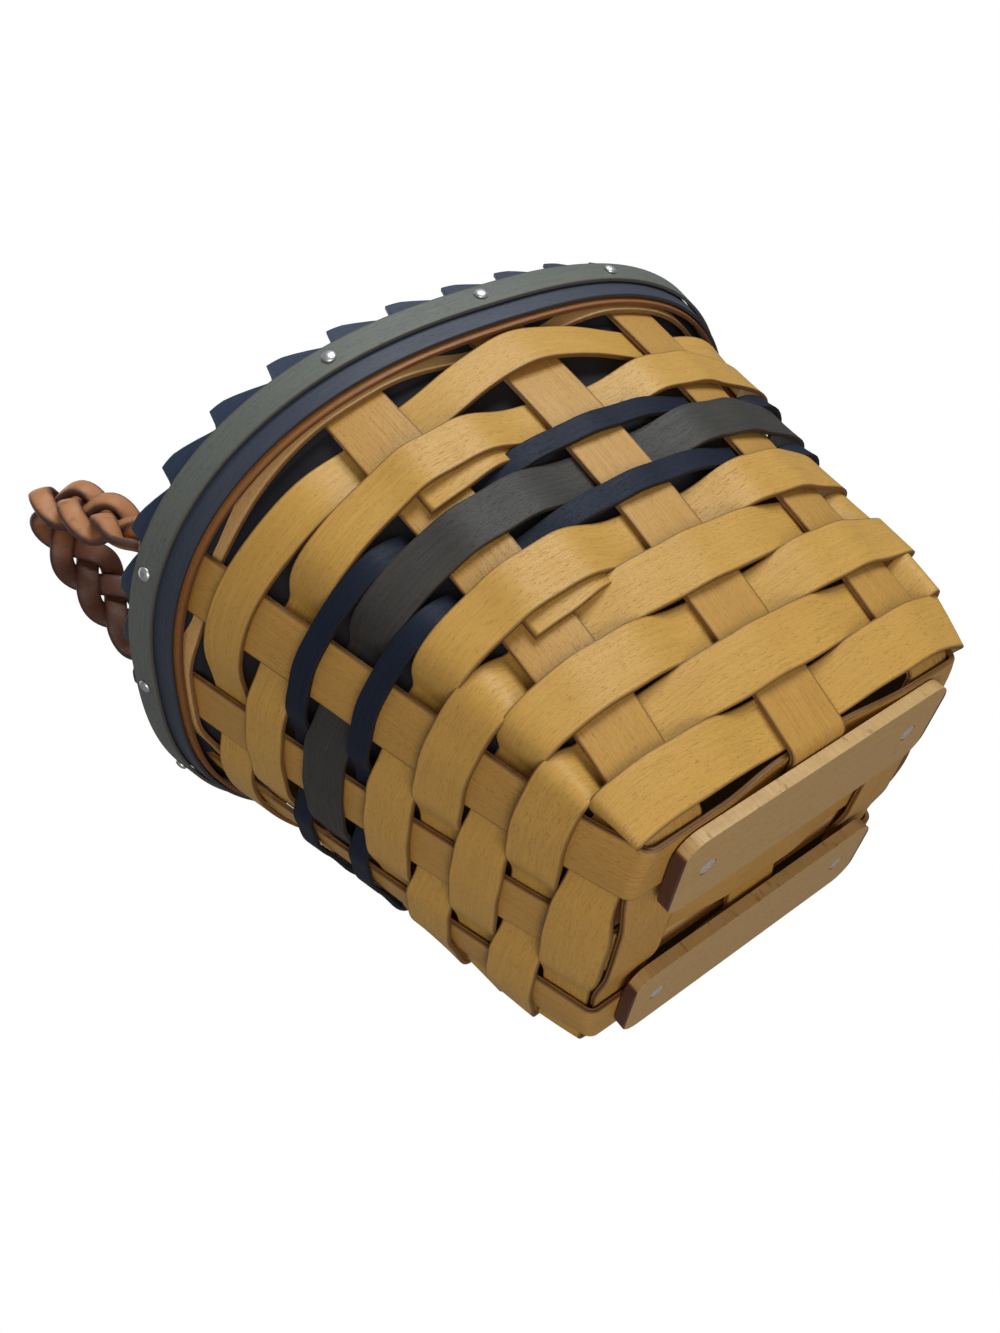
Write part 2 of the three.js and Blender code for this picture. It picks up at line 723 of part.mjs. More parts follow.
// Seat of a hanger on the inside of the rim, at a given place along the end, with the foot of the
// plait just above the top of its tab.
function hangerSeat(end, y) {
  const { length, width, power } = outlineAt(tabMiddle);
  const x = end * length * (1 - Math.abs(y / width) ** power) ** (1 / power);
  const seat = wallPlace(Math.atan2(y, x), tabMiddle, tabOffset);
  return { ...seat, foot: seat.point.clone().addScaledVector(seat.up, tabHeight / 2 + footGap) };
}

// Middle line of the loop: an arch from the front foot over the tip to the back foot. It leans out and
// sways to the front more and more towards the tip.
function hangerLine(end) {
  const foot = hangerSeat(end, hangerSpread / 2).foot;
  const steps = 24;
  const points = Array.from({ length: steps + 1 }, (_, step) => {
    const turn = (Math.PI * step) / steps;
    const rise = Math.sin(turn);
    const spread = 0.7 * Math.cos(turn) + 0.3 * Math.cos(turn) ** 3;
    const lean = hangerLean * THREE.MathUtils.smoothstep(rise * hangerHeight, leanStart, hangerHeight);
    return new THREE.Vector3(
      foot.x + end * lean,
      -foot.y * spread + hangerSway * rise ** 2,
      foot.z + hangerHeight * rise,
    );
  });
  return new THREE.CatmullRomCurve3(points);
}

// One of three flat strands. They leave the foot side by side, then plait: each swings from edge to
// edge and passes over and under the others, while the strap turns from facing out to facing along.
function strand(end, number) {
  const line = hangerLine(end);
  const total = line.getLength();
  const steps = 26;
  const sections = [];
  for (let step = 0; step <= steps; step += 1) {
    const share = step / steps;
    const fromFoot = Math.min(share, 1 - share) * total;
    const centre = line.getPointAt(share);
    const run = line.getTangentAt(share);
    const rim = new THREE.Vector3(0, 1, 0);
    const out = new THREE.Vector3(1, 0, 0);
    const turned = THREE.MathUtils.smoothstep(fromFoot, strandLead, strandLead + twistLength);
    const twist = (turned * Math.PI) / 2;
    const across = rim.multiplyScalar(Math.cos(twist)).addScaledVector(out, Math.sin(twist));
    across.addScaledVector(run, -across.dot(run)).normalize();
    const face = run.clone().cross(across).normalize();
    const plaited = THREE.MathUtils.clamp((share * total - strandLead) / (total - 2 * strandLead), 0, 1);
    const phase = 2 * Math.PI * (braidTurns * plaited + number / 3);
    const settle = THREE.MathUtils.smoothstep(fromFoot, 1, strandLead);
    const sway = braidReach * Math.sin(phase);
    const lift = braidDepth * Math.sin(2 * phase) * settle;
    const middle = centre.clone().addScaledVector(across, sway).addScaledVector(face, lift);
    sections.push({ middle, face, thin: lerp(0.45, 1, settle) });
  }
  const loops = sections.map(({ middle, face, thin }, at) => {
    const before = sections[Math.max(at - 1, 0)].middle;
    const after = sections[Math.min(at + 1, sections.length - 1)].middle;
    const run = after.clone().sub(before).normalize();
    const flat = run.clone().cross(face).normalize();
    const up = flat.clone().cross(run).normalize();
    const corner = (along, depth) =>
      middle
        .clone()
        .addScaledVector(flat, (along * strandWidth) / 2)
        .addScaledVector(up, (depth * thin * strandThickness) / 2);
    const upper = [corner(-1, 0), corner(-0.6, 1), corner(0.6, 1)];
    const lower = [corner(1, 0), corner(0.6, -1), corner(-0.6, -1)];
    return [...upper, ...lower];
  });
  return loft(loops);
}

const tabShape = new THREE.Shape();
const tabX = tabWidth / 2;
const tabY = tabHeight / 2;
tabShape.moveTo(-tabX + tabCorner, -tabY);
tabShape.lineTo(tabX - tabCorner, -tabY);
tabShape.quadraticCurveTo(tabX, -tabY, tabX, -tabY + tabCorner);
tabShape.lineTo(tabX, tabY);
tabShape.lineTo(-tabX, tabY);
tabShape.lineTo(-tabX, -tabY + tabCorner);
tabShape.quadraticCurveTo(-tabX, -tabY, -tabX + tabCorner, -tabY);

const rivetPlaces = [];
for (const [endName, end] of [["left", -1], ["right", 1]]) {
  for (let number = 0; number < 3; number += 1) {
    addPiece(`hanger_${endName}_strand_${number + 1}`, strand(end, number), "leather");
  }
  for (const [footName, y] of [["front", -hangerSpread / 2], ["back", hangerSpread / 2]]) {
    const { point, round, up, out } = hangerSeat(end, y);
    const place = new THREE.Matrix4().makeBasis(round, up, out).setPosition(point);
    const tab = new THREE.ExtrudeGeometry(tabShape, {
      depth: tabThickness,
      bevelEnabled: false,
      curveSegments: 3,
    });
    tab.translate(0, 0, -tabThickness / 2).applyMatrix4(place);
    const inwards = out.clone().negate();
    const turn = new THREE.Quaternion().setFromUnitVectors(new THREE.Vector3(0, 1, 0), inwards);
    const seat = point.clone().addScaledVector(inwards, tabThickness / 2 + fastenerGap);
    const side = 2 * (tackShankRadius + splintGap);
    const hole = new THREE.BoxGeometry(side, 12, side).applyQuaternion(turn);
    hole.translate(seat.x, seat.y, seat.z);
    addPiece(`hanger_${endName}_tab_${footName}`, cutAway(tab, [hole]), "leather");
    rivetPlaces.push({ name: `hanger_${endName}_rivet_${footName}`, seat, turn, hole });
  }
}

const innerHoop = band(innerBottom, innerHoopWidth, innerOffset, innerHoopThickness);
addPiece("rim_hoop_inner", cutAway(innerHoop, rivetPlaces.map(({ hole }) => hole)), "natural");
const rivetLength = fastenerGap + tabThickness + tabGap + innerHoopThickness;
rivetPlaces.forEach(({ name, seat, turn }) => {
  const rivet = roundTack(rivetHeadRadius, tackHeadHeight, tackShankRadius, rivetLength);
  const mesh = addPiece(name, rivet, "steel");
  mesh.position.copy(seat);
  mesh.quaternion.copy(turn);
});

export default basket;
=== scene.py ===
"""Dresses the splint basket: woven splints, layered rim, runners, tacks and leather hangers."""

from __future__ import annotations

import logging
import math
from bisect import bisect_left
from dataclasses import dataclass, field
from enum import Enum
from typing import Any, Callable, Sequence

import bmesh
import bpy
from mathutils import Matrix, Quaternion, Vector, noise

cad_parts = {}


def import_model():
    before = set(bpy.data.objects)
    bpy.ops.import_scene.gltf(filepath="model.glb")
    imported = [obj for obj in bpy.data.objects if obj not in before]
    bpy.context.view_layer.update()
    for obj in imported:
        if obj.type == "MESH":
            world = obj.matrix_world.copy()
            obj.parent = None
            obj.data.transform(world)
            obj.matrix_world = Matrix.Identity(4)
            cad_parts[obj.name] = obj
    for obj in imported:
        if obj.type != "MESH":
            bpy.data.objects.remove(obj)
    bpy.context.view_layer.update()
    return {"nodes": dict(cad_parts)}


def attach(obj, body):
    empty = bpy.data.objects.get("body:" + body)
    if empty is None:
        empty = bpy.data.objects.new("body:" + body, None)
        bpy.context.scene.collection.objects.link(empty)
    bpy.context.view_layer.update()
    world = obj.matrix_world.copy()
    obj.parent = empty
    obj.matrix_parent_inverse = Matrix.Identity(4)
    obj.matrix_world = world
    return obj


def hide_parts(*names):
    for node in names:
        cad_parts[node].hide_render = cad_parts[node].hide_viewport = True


MM = 0.001
FULL_TURN = 2 * math.pi
UP = Vector((0.0, 0.0, 1.0))
WHITE = (1.0, 1.0, 1.0)
HALF_RUNNER = 33.5
WELD = 1e-7
Pair = tuple[float, float]
Triple = tuple[float, float, float]
Colour = Triple
Profile = Sequence[Triple]
Uneven = Callable[[int], Triple]
Rail = list[Vector]
Piece = bpy.types.Object

log = logging.getLogger("splint_basket")


class Side(Enum):
    """Wall of the basket that a stake leg stands on."""

    RIGHT = "right"
    BACK = "back"
    LEFT = "left"
    FRONT = "front"


class Slot(Enum):
    """Material slots of the record."""

    NATURAL = "natural_splint"
    BROWN = "brown_splint"
    BLUE = "blue_splint"
    GREEN = "green_splint"
    LEATHER = "leather"
    STEEL = "steel"


class Body(Enum):
    """Bodies that the pieces ride on."""

    BASKET = "basket"
    LEFT_HANGER = "left_hanger"
    RIGHT_HANGER = "right_hanger"


class Grain(Enum):
    """Where a finish reads the run of its grain from."""

    ALONG_STRIP = "along_strip"
    ALONG_X = "along_x"


class Run(Enum):
    """Direction of a stake under the base."""

    CROSSWISE = "crosswise"
    LENGTHWISE = "lengthwise"


class Dye(Enum):
    """Colours of the weavers, as their nodes name them."""

    NATURAL = "natural"
    BLUE = "blue"
    GREEN = "green"


# Shading


def operator(operation: str, swap: bool = False) -> Callable[..., Value]:
    """Operator of a value that adds one Math node.

    Args:
        operation: What the node works out.
        swap: Whether the value comes second.

    Returns:
        The operator.
    """

    def work_out(value: Value, other: Any = 0.0) -> Value:
        """Adds the node for one value and the other operand."""
        return value.graph.math(operation, *((other, value) if swap else (value, other)))

    return work_out


class Value:
    """A shader output that ordinary arithmetic works on."""

    def __init__(self, graph: Graph, socket: bpy.types.NodeSocket) -> None:
        """Wraps one output socket of a graph."""
        self.graph = graph
        self.socket = socket

    __add__ = __radd__ = operator("ADD")
    __mul__ = __rmul__ = operator("MULTIPLY")
    __sub__ = operator("SUBTRACT")
    __rsub__ = operator("SUBTRACT", swap=True)
    __truediv__ = operator("DIVIDE")
    __abs__ = operator("ABSOLUTE")


class Graph:
    """Node tree of one material, with its Principled shader at hand."""

    def __init__(self, name: str) -> None:
        """Makes an empty material.

        Args:
            name: Name of the material.
        """
        self.material = bpy.data.materials.new(name)
        self.material.use_nodes = True
        self.tree = self.material.node_tree
        self.shader = self.tree.nodes["Principled BSDF"]
        self.surface = self.tree.nodes["Material Output"].inputs["Surface"]

    def node(self, kind: str, settings: dict[str, Any], inputs: dict[Any, Any]) -> bpy.types.Node:
        """Adds a node.

        Args:
            kind: The node's type.
            settings: Its properties, set first.
            inputs: Values or links of its sockets, by name or number.

        Returns:
            The new node.
        """
        made = self.tree.nodes.new(kind)
        for key, setting in settings.items():
            setattr(made, key, setting)
        for key, value in inputs.items():
            self.feed(made.inputs[key], value)
        return made

    def feed(self, socket: bpy.types.NodeSocket, value: Any) -> None:
        """Links a value to a socket, or sets it there.

        Args:
            socket: The socket that takes it.
            value: A Value, a number, a colour or a vector.
        """
        if isinstance(value, Value):
            self.tree.links.new(value.socket, socket)
        elif isinstance(value, tuple) and socket.type == "RGBA":
            socket.default_value = (*value, 1.0)
        else:
            socket.default_value = value

    def dress(self, inputs: dict[str, Any]) -> None:
        """Links or sets sockets of the Principled shader, by name."""
        for name, value in inputs.items():
            self.feed(self.shader.inputs[name], value)

    def value(
        self, kind: str, settings: dict[str, Any], inputs: dict[Any, Any], out: Any = 0
    ) -> Value:
        """Adds a node and returns one of its outputs, by name or number."""
        return Value(self, self.node(kind, settings, inputs).outputs[out])

    def math(self, operation: str, first: Any, second: Any) -> Value:
        """Adds one step of arithmetic and returns its result."""
        return self.value("ShaderNodeMath", {"operation": operation}, {0: first, 1: second})

    def rise(self, band: Pair, value: Value) -> Value:
        """Smooth step of a value from 0 at a band's start to 1 at its end."""
        settings = {"interpolation_type": "SMOOTHSTEP"}
        return self.value("ShaderNodeMapRange", settings, {0: value, 1: band[0], 2: band[1]})

    def mix(self, share: Any, first: Any, second: Any) -> Value:
        """Mixes a share of the second colour into the first."""
        inputs = {0: share, 6: first, 7: second}
        return self.value("ShaderNodeMix", {"data_type": "RGBA"}, inputs, 2)

    def vector(self, x: Any, y: Any, z: Any) -> Value:
        """Vector of three values."""
        return self.value("ShaderNodeCombineXYZ", {}, {0: x, 1: y, 2: z})

    def scaled(self, place: Sequence[Value], *scales: float) -> Value:
        """Vector of three values, each times its scale."""
        return self.vector(*(part * scale for part, scale in zip(place, scales)))

    def noise(self, place: Value, layers: float, harshness: float) -> Value:
        """Noise at a place, from 0 to 1, with finer layers of a given strength."""
        inputs = {"Vector": place, "Scale": 1.0, "Detail": layers, "Roughness": harshness}
        return self.value("ShaderNodeTexNoise", {}, inputs)

    def bump(self, height: Value, strength: float, depth_mm: float) -> None:
        """Feeds a bump of a depth into the shader's normal."""
        inputs = {"Strength": strength, "Distance": depth_mm * MM, "Height": height}
        self.dress({"Normal": self.value("ShaderNodeBump", {}, inputs)})

    def split(self, vector: Value) -> tuple[Value, Value, Value]:
        """Three parts of a vector."""
        parts = self.node("ShaderNodeSeparateXYZ", {}, {0: vector})
        return tuple(Value(self, output) for output in parts.outputs)

    def attribute(self, name: str, out: str) -> Value:
        """Attribute of the mesh, as a "Vector" or "Fac" output."""
        return self.value("ShaderNodeAttribute", {"attribute_name": name}, {}, out)

    def object_place(self) -> tuple[Value, Value, Value]:
        """Object coordinates in millimetres."""
        x, y, z = self.split(self.value("ShaderNodeTexCoord", {}, {}, "Object"))
        return x / MM, y / MM, z / MM


@dataclass(frozen=True)
class Figure:
    """One layer of a surface's figure: a noise drawn out along the strip."""

    along: float
    across: float
    apart: float
    layers: float
    harshness: float

    def read(self, graph: Graph, along: Value, across: Value, seed: Value) -> Value:
        """Noise of this layer at a place on a strip, from 0 to 1."""
        place = graph.vector(along * self.along, across * self.across, seed + self.apart)
        return graph.noise(place, self.layers, self.harshness)


FINE_STREAKS = Figure(0.09, 2.9, 0.0, 5.0, 0.66)
BROAD_CLOUDS = Figure(0.045, 0.16, 3.1, 3.0, 0.55)
SHORT_FLECKS = Figure(0.75, 5.5, 7.7, 2.0, 0.55)
PORES = Figure(1.6, 9.0, 1.3, 1.0, 0.5)
CREASES = Figure(0.9, 0.35, 0.0, 4.0, 0.6)


def weighted(shares: Sequence[float], first: Value, *others: Value) -> Value:
    """Sum of some values, each by its share."""
    parts = (value * share for value, share in zip(others, shares[1:]))
    return sum(parts, first * shares[0])


@dataclass(frozen=True)
class SplintFinish:
    """Wooden splint: fine streaks along the grain, short dark flecks, and brown edges, partly
    rubbed and partly painted shade.
    """

    name: str
    slot: Slot
    pale: Colour
    deep: Colour
    fleck: Colour
    # Colour of the edges: rubbed brown, and painted shade along them.
    edge: Colour
    flecks: float = 0.5
    fleck_band: Pair = (0.58, 0.70)
    edge_wear_and_shade: float = 0.85
    wear_and_shade_band: Pair = (0.3, 0.75)
    wear_and_shade_mix: Pair = (0.75, 0.45)
    streak_band: Pair = (0.3, 0.66)
    streak_mix: Triple = (0.5, 0.25, 0.25)
    streak_gloss: float = 0.10
    fleck_dulling: float = 0.18
    cloud_band: Pair = (0.3, 0.7)
    cloud_share: float = 0.4
    roughness: float = 0.5
    sheen: float = 0.4
    bump_strength: float = 0.45
    bump_depth: float = 0.2
    relief_mix: Triple = (0.45, 0.5, -0.4)
    grain: Grain = Grain.ALONG_STRIP
    half_length: float = 0.0
    stain: Pair = (1.1, 0.5)
    layer_scale: float = 0.3
    layer_start: float = 11.0

    def build(self) -> bpy.types.Material:
        """Makes the material.

        Returns:
            It, finished.
        """
        graph = Graph(self.name)
        if self.grain is Grain.ALONG_STRIP:
            lay = graph.split(graph.attribute("lay", "Vector"))
            wear_and_shade_mask = graph.attribute("edge", "Fac")
        else:
            along, across, height = graph.object_place()
            lay = (along, across, height * self.layer_scale + self.layer_start)
            ends = (self.half_length - self.stain[0], self.half_length - self.stain[1])
            wear_and_shade_mask = graph.rise(ends, abs(along))
        fine = FINE_STREAKS.read(graph, *lay)
        broad = BROAD_CLOUDS.read(graph, *lay)
        flecks = SHORT_FLECKS.read(graph, *lay)
        pores = PORES.read(graph, *lay)
        streak = graph.rise(self.streak_band, weighted(self.streak_mix, fine, broad, pores))
        speck = graph.rise(self.fleck_band, flecks) * self.flecks
        colour = graph.mix(streak, self.deep, self.pale)
        tone = graph.rise(self.cloud_band, broad)
        colour = graph.mix(tone * self.cloud_share, colour, self.deep)
        colour = graph.mix(speck, colour, self.fleck)
        # Edges darken: partly rubbed and partly painted shade along the splints' edges; on the
        # runners, the stained end grain.
        ragged_wear_and_shade = graph.rise(self.wear_and_shade_band, weighted(self.wear_and_shade_mix, wear_and_shade_mask, pores))
        colour = graph.mix(ragged_wear_and_shade * wear_and_shade_mask * self.edge_wear_and_shade, colour, self.edge)
        gloss = self.roughness - self.streak_gloss * streak + self.fleck_dulling * speck
        graph.dress({"Base Color": colour, "Roughness": gloss, "Specular IOR Level": self.sheen})
        height = weighted(self.relief_mix, fine, pores, speck)
        graph.bump(height, self.bump_strength, self.bump_depth)
        return graph.material


@dataclass(frozen=True)
class LeatherFinish:
    """Braiding leather: tan on the crown, red-brown in painted shade towards its edges and towards
    the basket's back, finely creased and darker in the creases.
    """

    name: str
    slot: Slot
    tan: Colour
    dark: Colour
    roughness: float = 0.34
    cloud_dulling: float = 0.22
    pore_scale: float = 2.4
    pore_band: Pair = (0.0, 0.16)
    cloud_scale: float = 0.22
    cloud_detail: Pair = (3.0, 0.55)
    shade_band: Pair = (0.2, 0.95)
    shade_mix: Pair = (0.7, 0.45)
    # Painted shade: the loops darken towards the basket's back, so each back leg reads as shaded.
    painted_back_shade_band: Pair = (-13.0, 3.0)
    painted_back_shade_wander: float = 6.0
    painted_back_shade_share: float = 0.9
    crease_band: Pair = (0.52, 0.68)
    crease_share: float = 0.35
    bump_strength: float = 0.5
    bump_depth: float = 0.16
    relief_mix: Pair = (0.5, 0.8)

    def build(self) -> bpy.types.Material:
        """Makes the material.

        Returns:
            It, finished.
        """
        graph = Graph(self.name)
        place = graph.object_place()
        lay = graph.split(graph.attribute("lay", "Vector"))
        wear_and_shade_mask = graph.attribute("edge", "Fac")
        cells = graph.value(
            "ShaderNodeTexVoronoi",
            {"feature": "DISTANCE_TO_EDGE"},
            {"Vector": graph.scaled(place, *[self.pore_scale] * 3), "Scale": 1.0},
            "Distance",
        )
        creases = CREASES.read(graph, *lay)
        clouds = graph.noise(graph.scaled(place, *[self.cloud_scale] * 3), *self.cloud_detail)
        # Painted shade: red-brown towards the edges of the strands and tabs, broken up by the
        # clouds.
        shade = graph.rise(self.shade_band, weighted(self.shade_mix, wear_and_shade_mask, clouds))
        colour = graph.mix(shade, self.tan, self.dark)
        # Painted shade, growing darker towards the basket's back along y.
        painted_back_shade = graph.rise(self.painted_back_shade_band, place[1] + self.painted_back_shade_wander * clouds)
        colour = graph.mix(painted_back_shade * self.painted_back_shade_share, colour, self.dark)
        creased = graph.rise(self.crease_band, creases)
        colour = graph.mix(creased * self.crease_share, colour, self.dark)
        gloss = self.roughness + self.cloud_dulling * clouds
        graph.dress({"Base Color": colour, "Roughness": gloss})
        pits = graph.rise(self.pore_band, cells)
        height = weighted(self.relief_mix, pits, creases)
        graph.bump(height, self.bump_strength, self.bump_depth)
        return graph.material


@dataclass(frozen=True)
class SteelFinish:
    """Plain steel fasteners: brushed, a little tarnished."""

    name: str
    slot: Slot
    bright: Colour
    tarnish: Colour
    metal: float = 0.95
    roughness: float = 0.34
    spot_scale: float = 1.1
    spot_detail: Pair = (4.0, 0.6)
    spot_band: Pair = (0.48, 0.68)
    spot_share: float = 0.7
    spot_dulling: float = 0.25
    scratch_scales: Triple = (9.0, 1.5, 9.0)
    scratch_detail: Pair = (2.0, 0.5)
    bump_strength: float = 0.25
    bump_depth: float = 0.03

    def build(self) -> bpy.types.Material:
        """Makes the material.

        Returns:
            It, finished.
        """
        graph = Graph(self.name)
        place = graph.object_place()
        spots = graph.noise(graph.scaled(place, *[self.spot_scale] * 3), *self.spot_detail)
        scratches = graph.noise(graph.scaled(place, *self.scratch_scales), *self.scratch_detail)
        dull = graph.rise(self.spot_band, spots)
        colour = graph.mix(dull * self.spot_share, self.bright, self.tarnish)
        gloss = self.roughness + self.spot_dulling * dull
        graph.dress({"Base Color": colour, "Metallic": self.metal, "Roughness": gloss})
        graph.bump(scratches, self.bump_strength, self.bump_depth)
        return graph.material


Finish = SplintFinish | LeatherFinish | SteelFinish


@dataclass
class Finishes:
    """Every finish of the basket, made once."""

    natural: SplintFinish = SplintFinish(
        "natural_splint", Slot.NATURAL,
        pale=(0.65, 0.390, 0.091), deep=(0.49, 0.262, 0.053),
        fleck=(0.23, 0.10, 0.024), edge=(0.105, 0.040, 0.014),
    )
    # Darker and more orange than the natural splint: partly the stakes' own browner tone, partly
    # painted shade for their patches set back in the weave.
    stake: SplintFinish = SplintFinish(
        "stake_splint", Slot.NATURAL,
        pale=(0.59, 0.342, 0.080), deep=(0.42, 0.212, 0.045),
        fleck=(0.20, 0.085, 0.022), edge=(0.13, 0.054, 0.020),
    )
    # Painted light: a paler copy of the natural splint that brightens the base fillers and the top
    # row where they sit in shade.
    filler: SplintFinish = SplintFinish(
        "painted_light_splint", Slot.NATURAL,
        pale=(0.78, 0.50, 0.20), deep=(0.64, 0.38, 0.14),
        fleck=(0.24, 0.11, 0.035), edge=(0.13, 0.054, 0.020),
    )
    runner: SplintFinish = SplintFinish(
        "runner_wood", Slot.NATURAL,
        pale=(0.58, 0.375, 0.150), deep=(0.45, 0.27, 0.098),
        fleck=(0.20, 0.10, 0.035), edge=(0.085, 0.030, 0.018),
        edge_wear_and_shade=1.0, grain=Grain.ALONG_X, half_length=HALF_RUNNER,
    )
    brown: SplintFinish = SplintFinish(
        "brown_splint", Slot.BROWN,
        pale=(0.38, 0.165, 0.045), deep=(0.25, 0.095, 0.024),
        fleck=(0.09, 0.03, 0.01), edge=(0.13, 0.045, 0.014),
    )
    blue: SplintFinish = SplintFinish(
        "blue_splint", Slot.BLUE,
        pale=(0.058, 0.070, 0.100), deep=(0.030, 0.039, 0.064),
        fleck=(0.012, 0.016, 0.028), edge=(0.035, 0.034, 0.042),
        roughness=0.55,
    )
    dark_blue: SplintFinish = SplintFinish(
        "dark_blue_splint", Slot.BLUE,
        pale=(0.016, 0.023, 0.043), deep=(0.009, 0.013, 0.027),
        fleck=(0.004, 0.005, 0.010), edge=(0.018, 0.016, 0.018),
        roughness=0.58, sheen=0.15,
    )
    green: SplintFinish = SplintFinish(
        "green_splint", Slot.GREEN,
        pale=(0.158, 0.172, 0.152), deep=(0.098, 0.112, 0.103),
        fleck=(0.03, 0.035, 0.032), edge=(0.085, 0.075, 0.058),
        roughness=0.55,
    )
    dark_green: SplintFinish = SplintFinish(
        "dark_green_splint", Slot.GREEN,
        pale=(0.064, 0.060, 0.053), deep=(0.027, 0.027, 0.026),
        fleck=(0.012, 0.011, 0.009), edge=(0.045, 0.032, 0.022),
        roughness=0.6, sheen=0.3,
    )
    trim: SplintFinish = SplintFinish(
        "trim_splint", Slot.BLUE,
        pale=(0.040, 0.062, 0.118), deep=(0.020, 0.033, 0.070),
        fleck=(0.010, 0.015, 0.032), edge=(0.030, 0.036, 0.055),
        roughness=0.6,
    )
    leather: LeatherFinish = LeatherFinish(
        "braided_leather", Slot.LEATHER, tan=(0.50, 0.215, 0.085), dark=(0.062, 0.021, 0.014)
    )
    steel: SteelFinish = SteelFinish(
        "fastener_steel", Slot.STEEL, bright=(0.78, 0.78, 0.79), tarnish=(0.36, 0.35, 0.34)
    )
    zinc: SteelFinish = SteelFinish(
        "nail_steel", Slot.STEEL, bright=(0.62, 0.60, 0.56), tarnish=(0.33, 0.30, 0.26),
        metal=0.45, roughness=0.5,
    )
    made: dict[str, bpy.types.Material] = field(default_factory=dict)

    def of(self, finish: Finish) -> bpy.types.Material:
        """Material of a finish, built on first use.

        Args:
            finish: The finish.

        Returns:
            Its material.
        """
        if finish.name not in self.made:
            self.made[finish.name] = finish.build()
        return self.made[finish.name]


# Wall


@dataclass(frozen=True)
class Leg:
    """Where a stake stands on the wall."""

    side: Side
    place: int


LEGS: tuple[Leg, ...] = (
    Leg(Side.RIGHT, 0),
    Leg(Side.RIGHT, 1),
    *(Leg(Side.BACK, place) for place in (1, 0, -1)),
    *(Leg(Side.LEFT, place) for place in (1, 0, -1)),
    *(Leg(Side.FRONT, place) for place in (-1, 0, 1)),
    Leg(Side.RIGHT, -1),
)


def lerp(first: float, second: float, share: float) -> float:
    """Value at a share of the way from the first to the second."""
    return first + (second - first) * share


def smooth(low: float, high: float, value: float) -> float:
    """Smooth step of a value from 0 at low to 1 at high."""
    share = min(max((value - low) / (high - low), 0.0), 1.0)
    return share * share * (3.0 - 2.0 * share)


def waver(*place: float) -> float:
    """Slow wander from -1 to 1 that is the same at each run."""
    return noise.noise(Vector((*place, 0.0, 0.0)[:3]))


def oval(half: float, share: float, power: float) -> float:
    """Half axis of a squared oval, cut at a share of its other half axis."""
    return half * (1 - abs(share) ** power) ** (1 / power)


def lengths_along(points: Sequence[Vector]) -> list[float]:
    """Measures a run of points.

    Args:
        points: The points in order.

    Returns:
        The way from the first point to each of them.
    """
    lengths = [0.0]
    for before, after in zip(points, points[1:]):
        lengths.append(lengths[-1] + (after - before).length)
    return lengths


def mark(lengths: Sequence[float], distance: float) -> tuple[int, float]:
    """Number of the point after a distance along a run, and its share of the step to it."""
    after = min(max(bisect_left(lengths, distance), 1), len(lengths) - 1)
    return after, (distance - lengths[after - 1]) / (lengths[after] - lengths[after - 1])


def eased(points: Sequence[Vector], passes: int) -> Rail:
    """Smooths a run of points and keeps its ends.

    Args:
        points: The run.
        passes: How many times each point moves towards its neighbours.

    Returns:
        The smoothed run.
    """
    run = list(points)
    for _ in range(passes):
        inner = [(a + b * 2 + c) / 4 for a, b, c in zip(run, run[1:], run[2:])]
        run = [run[0], *inner, run[-1]]
    return run


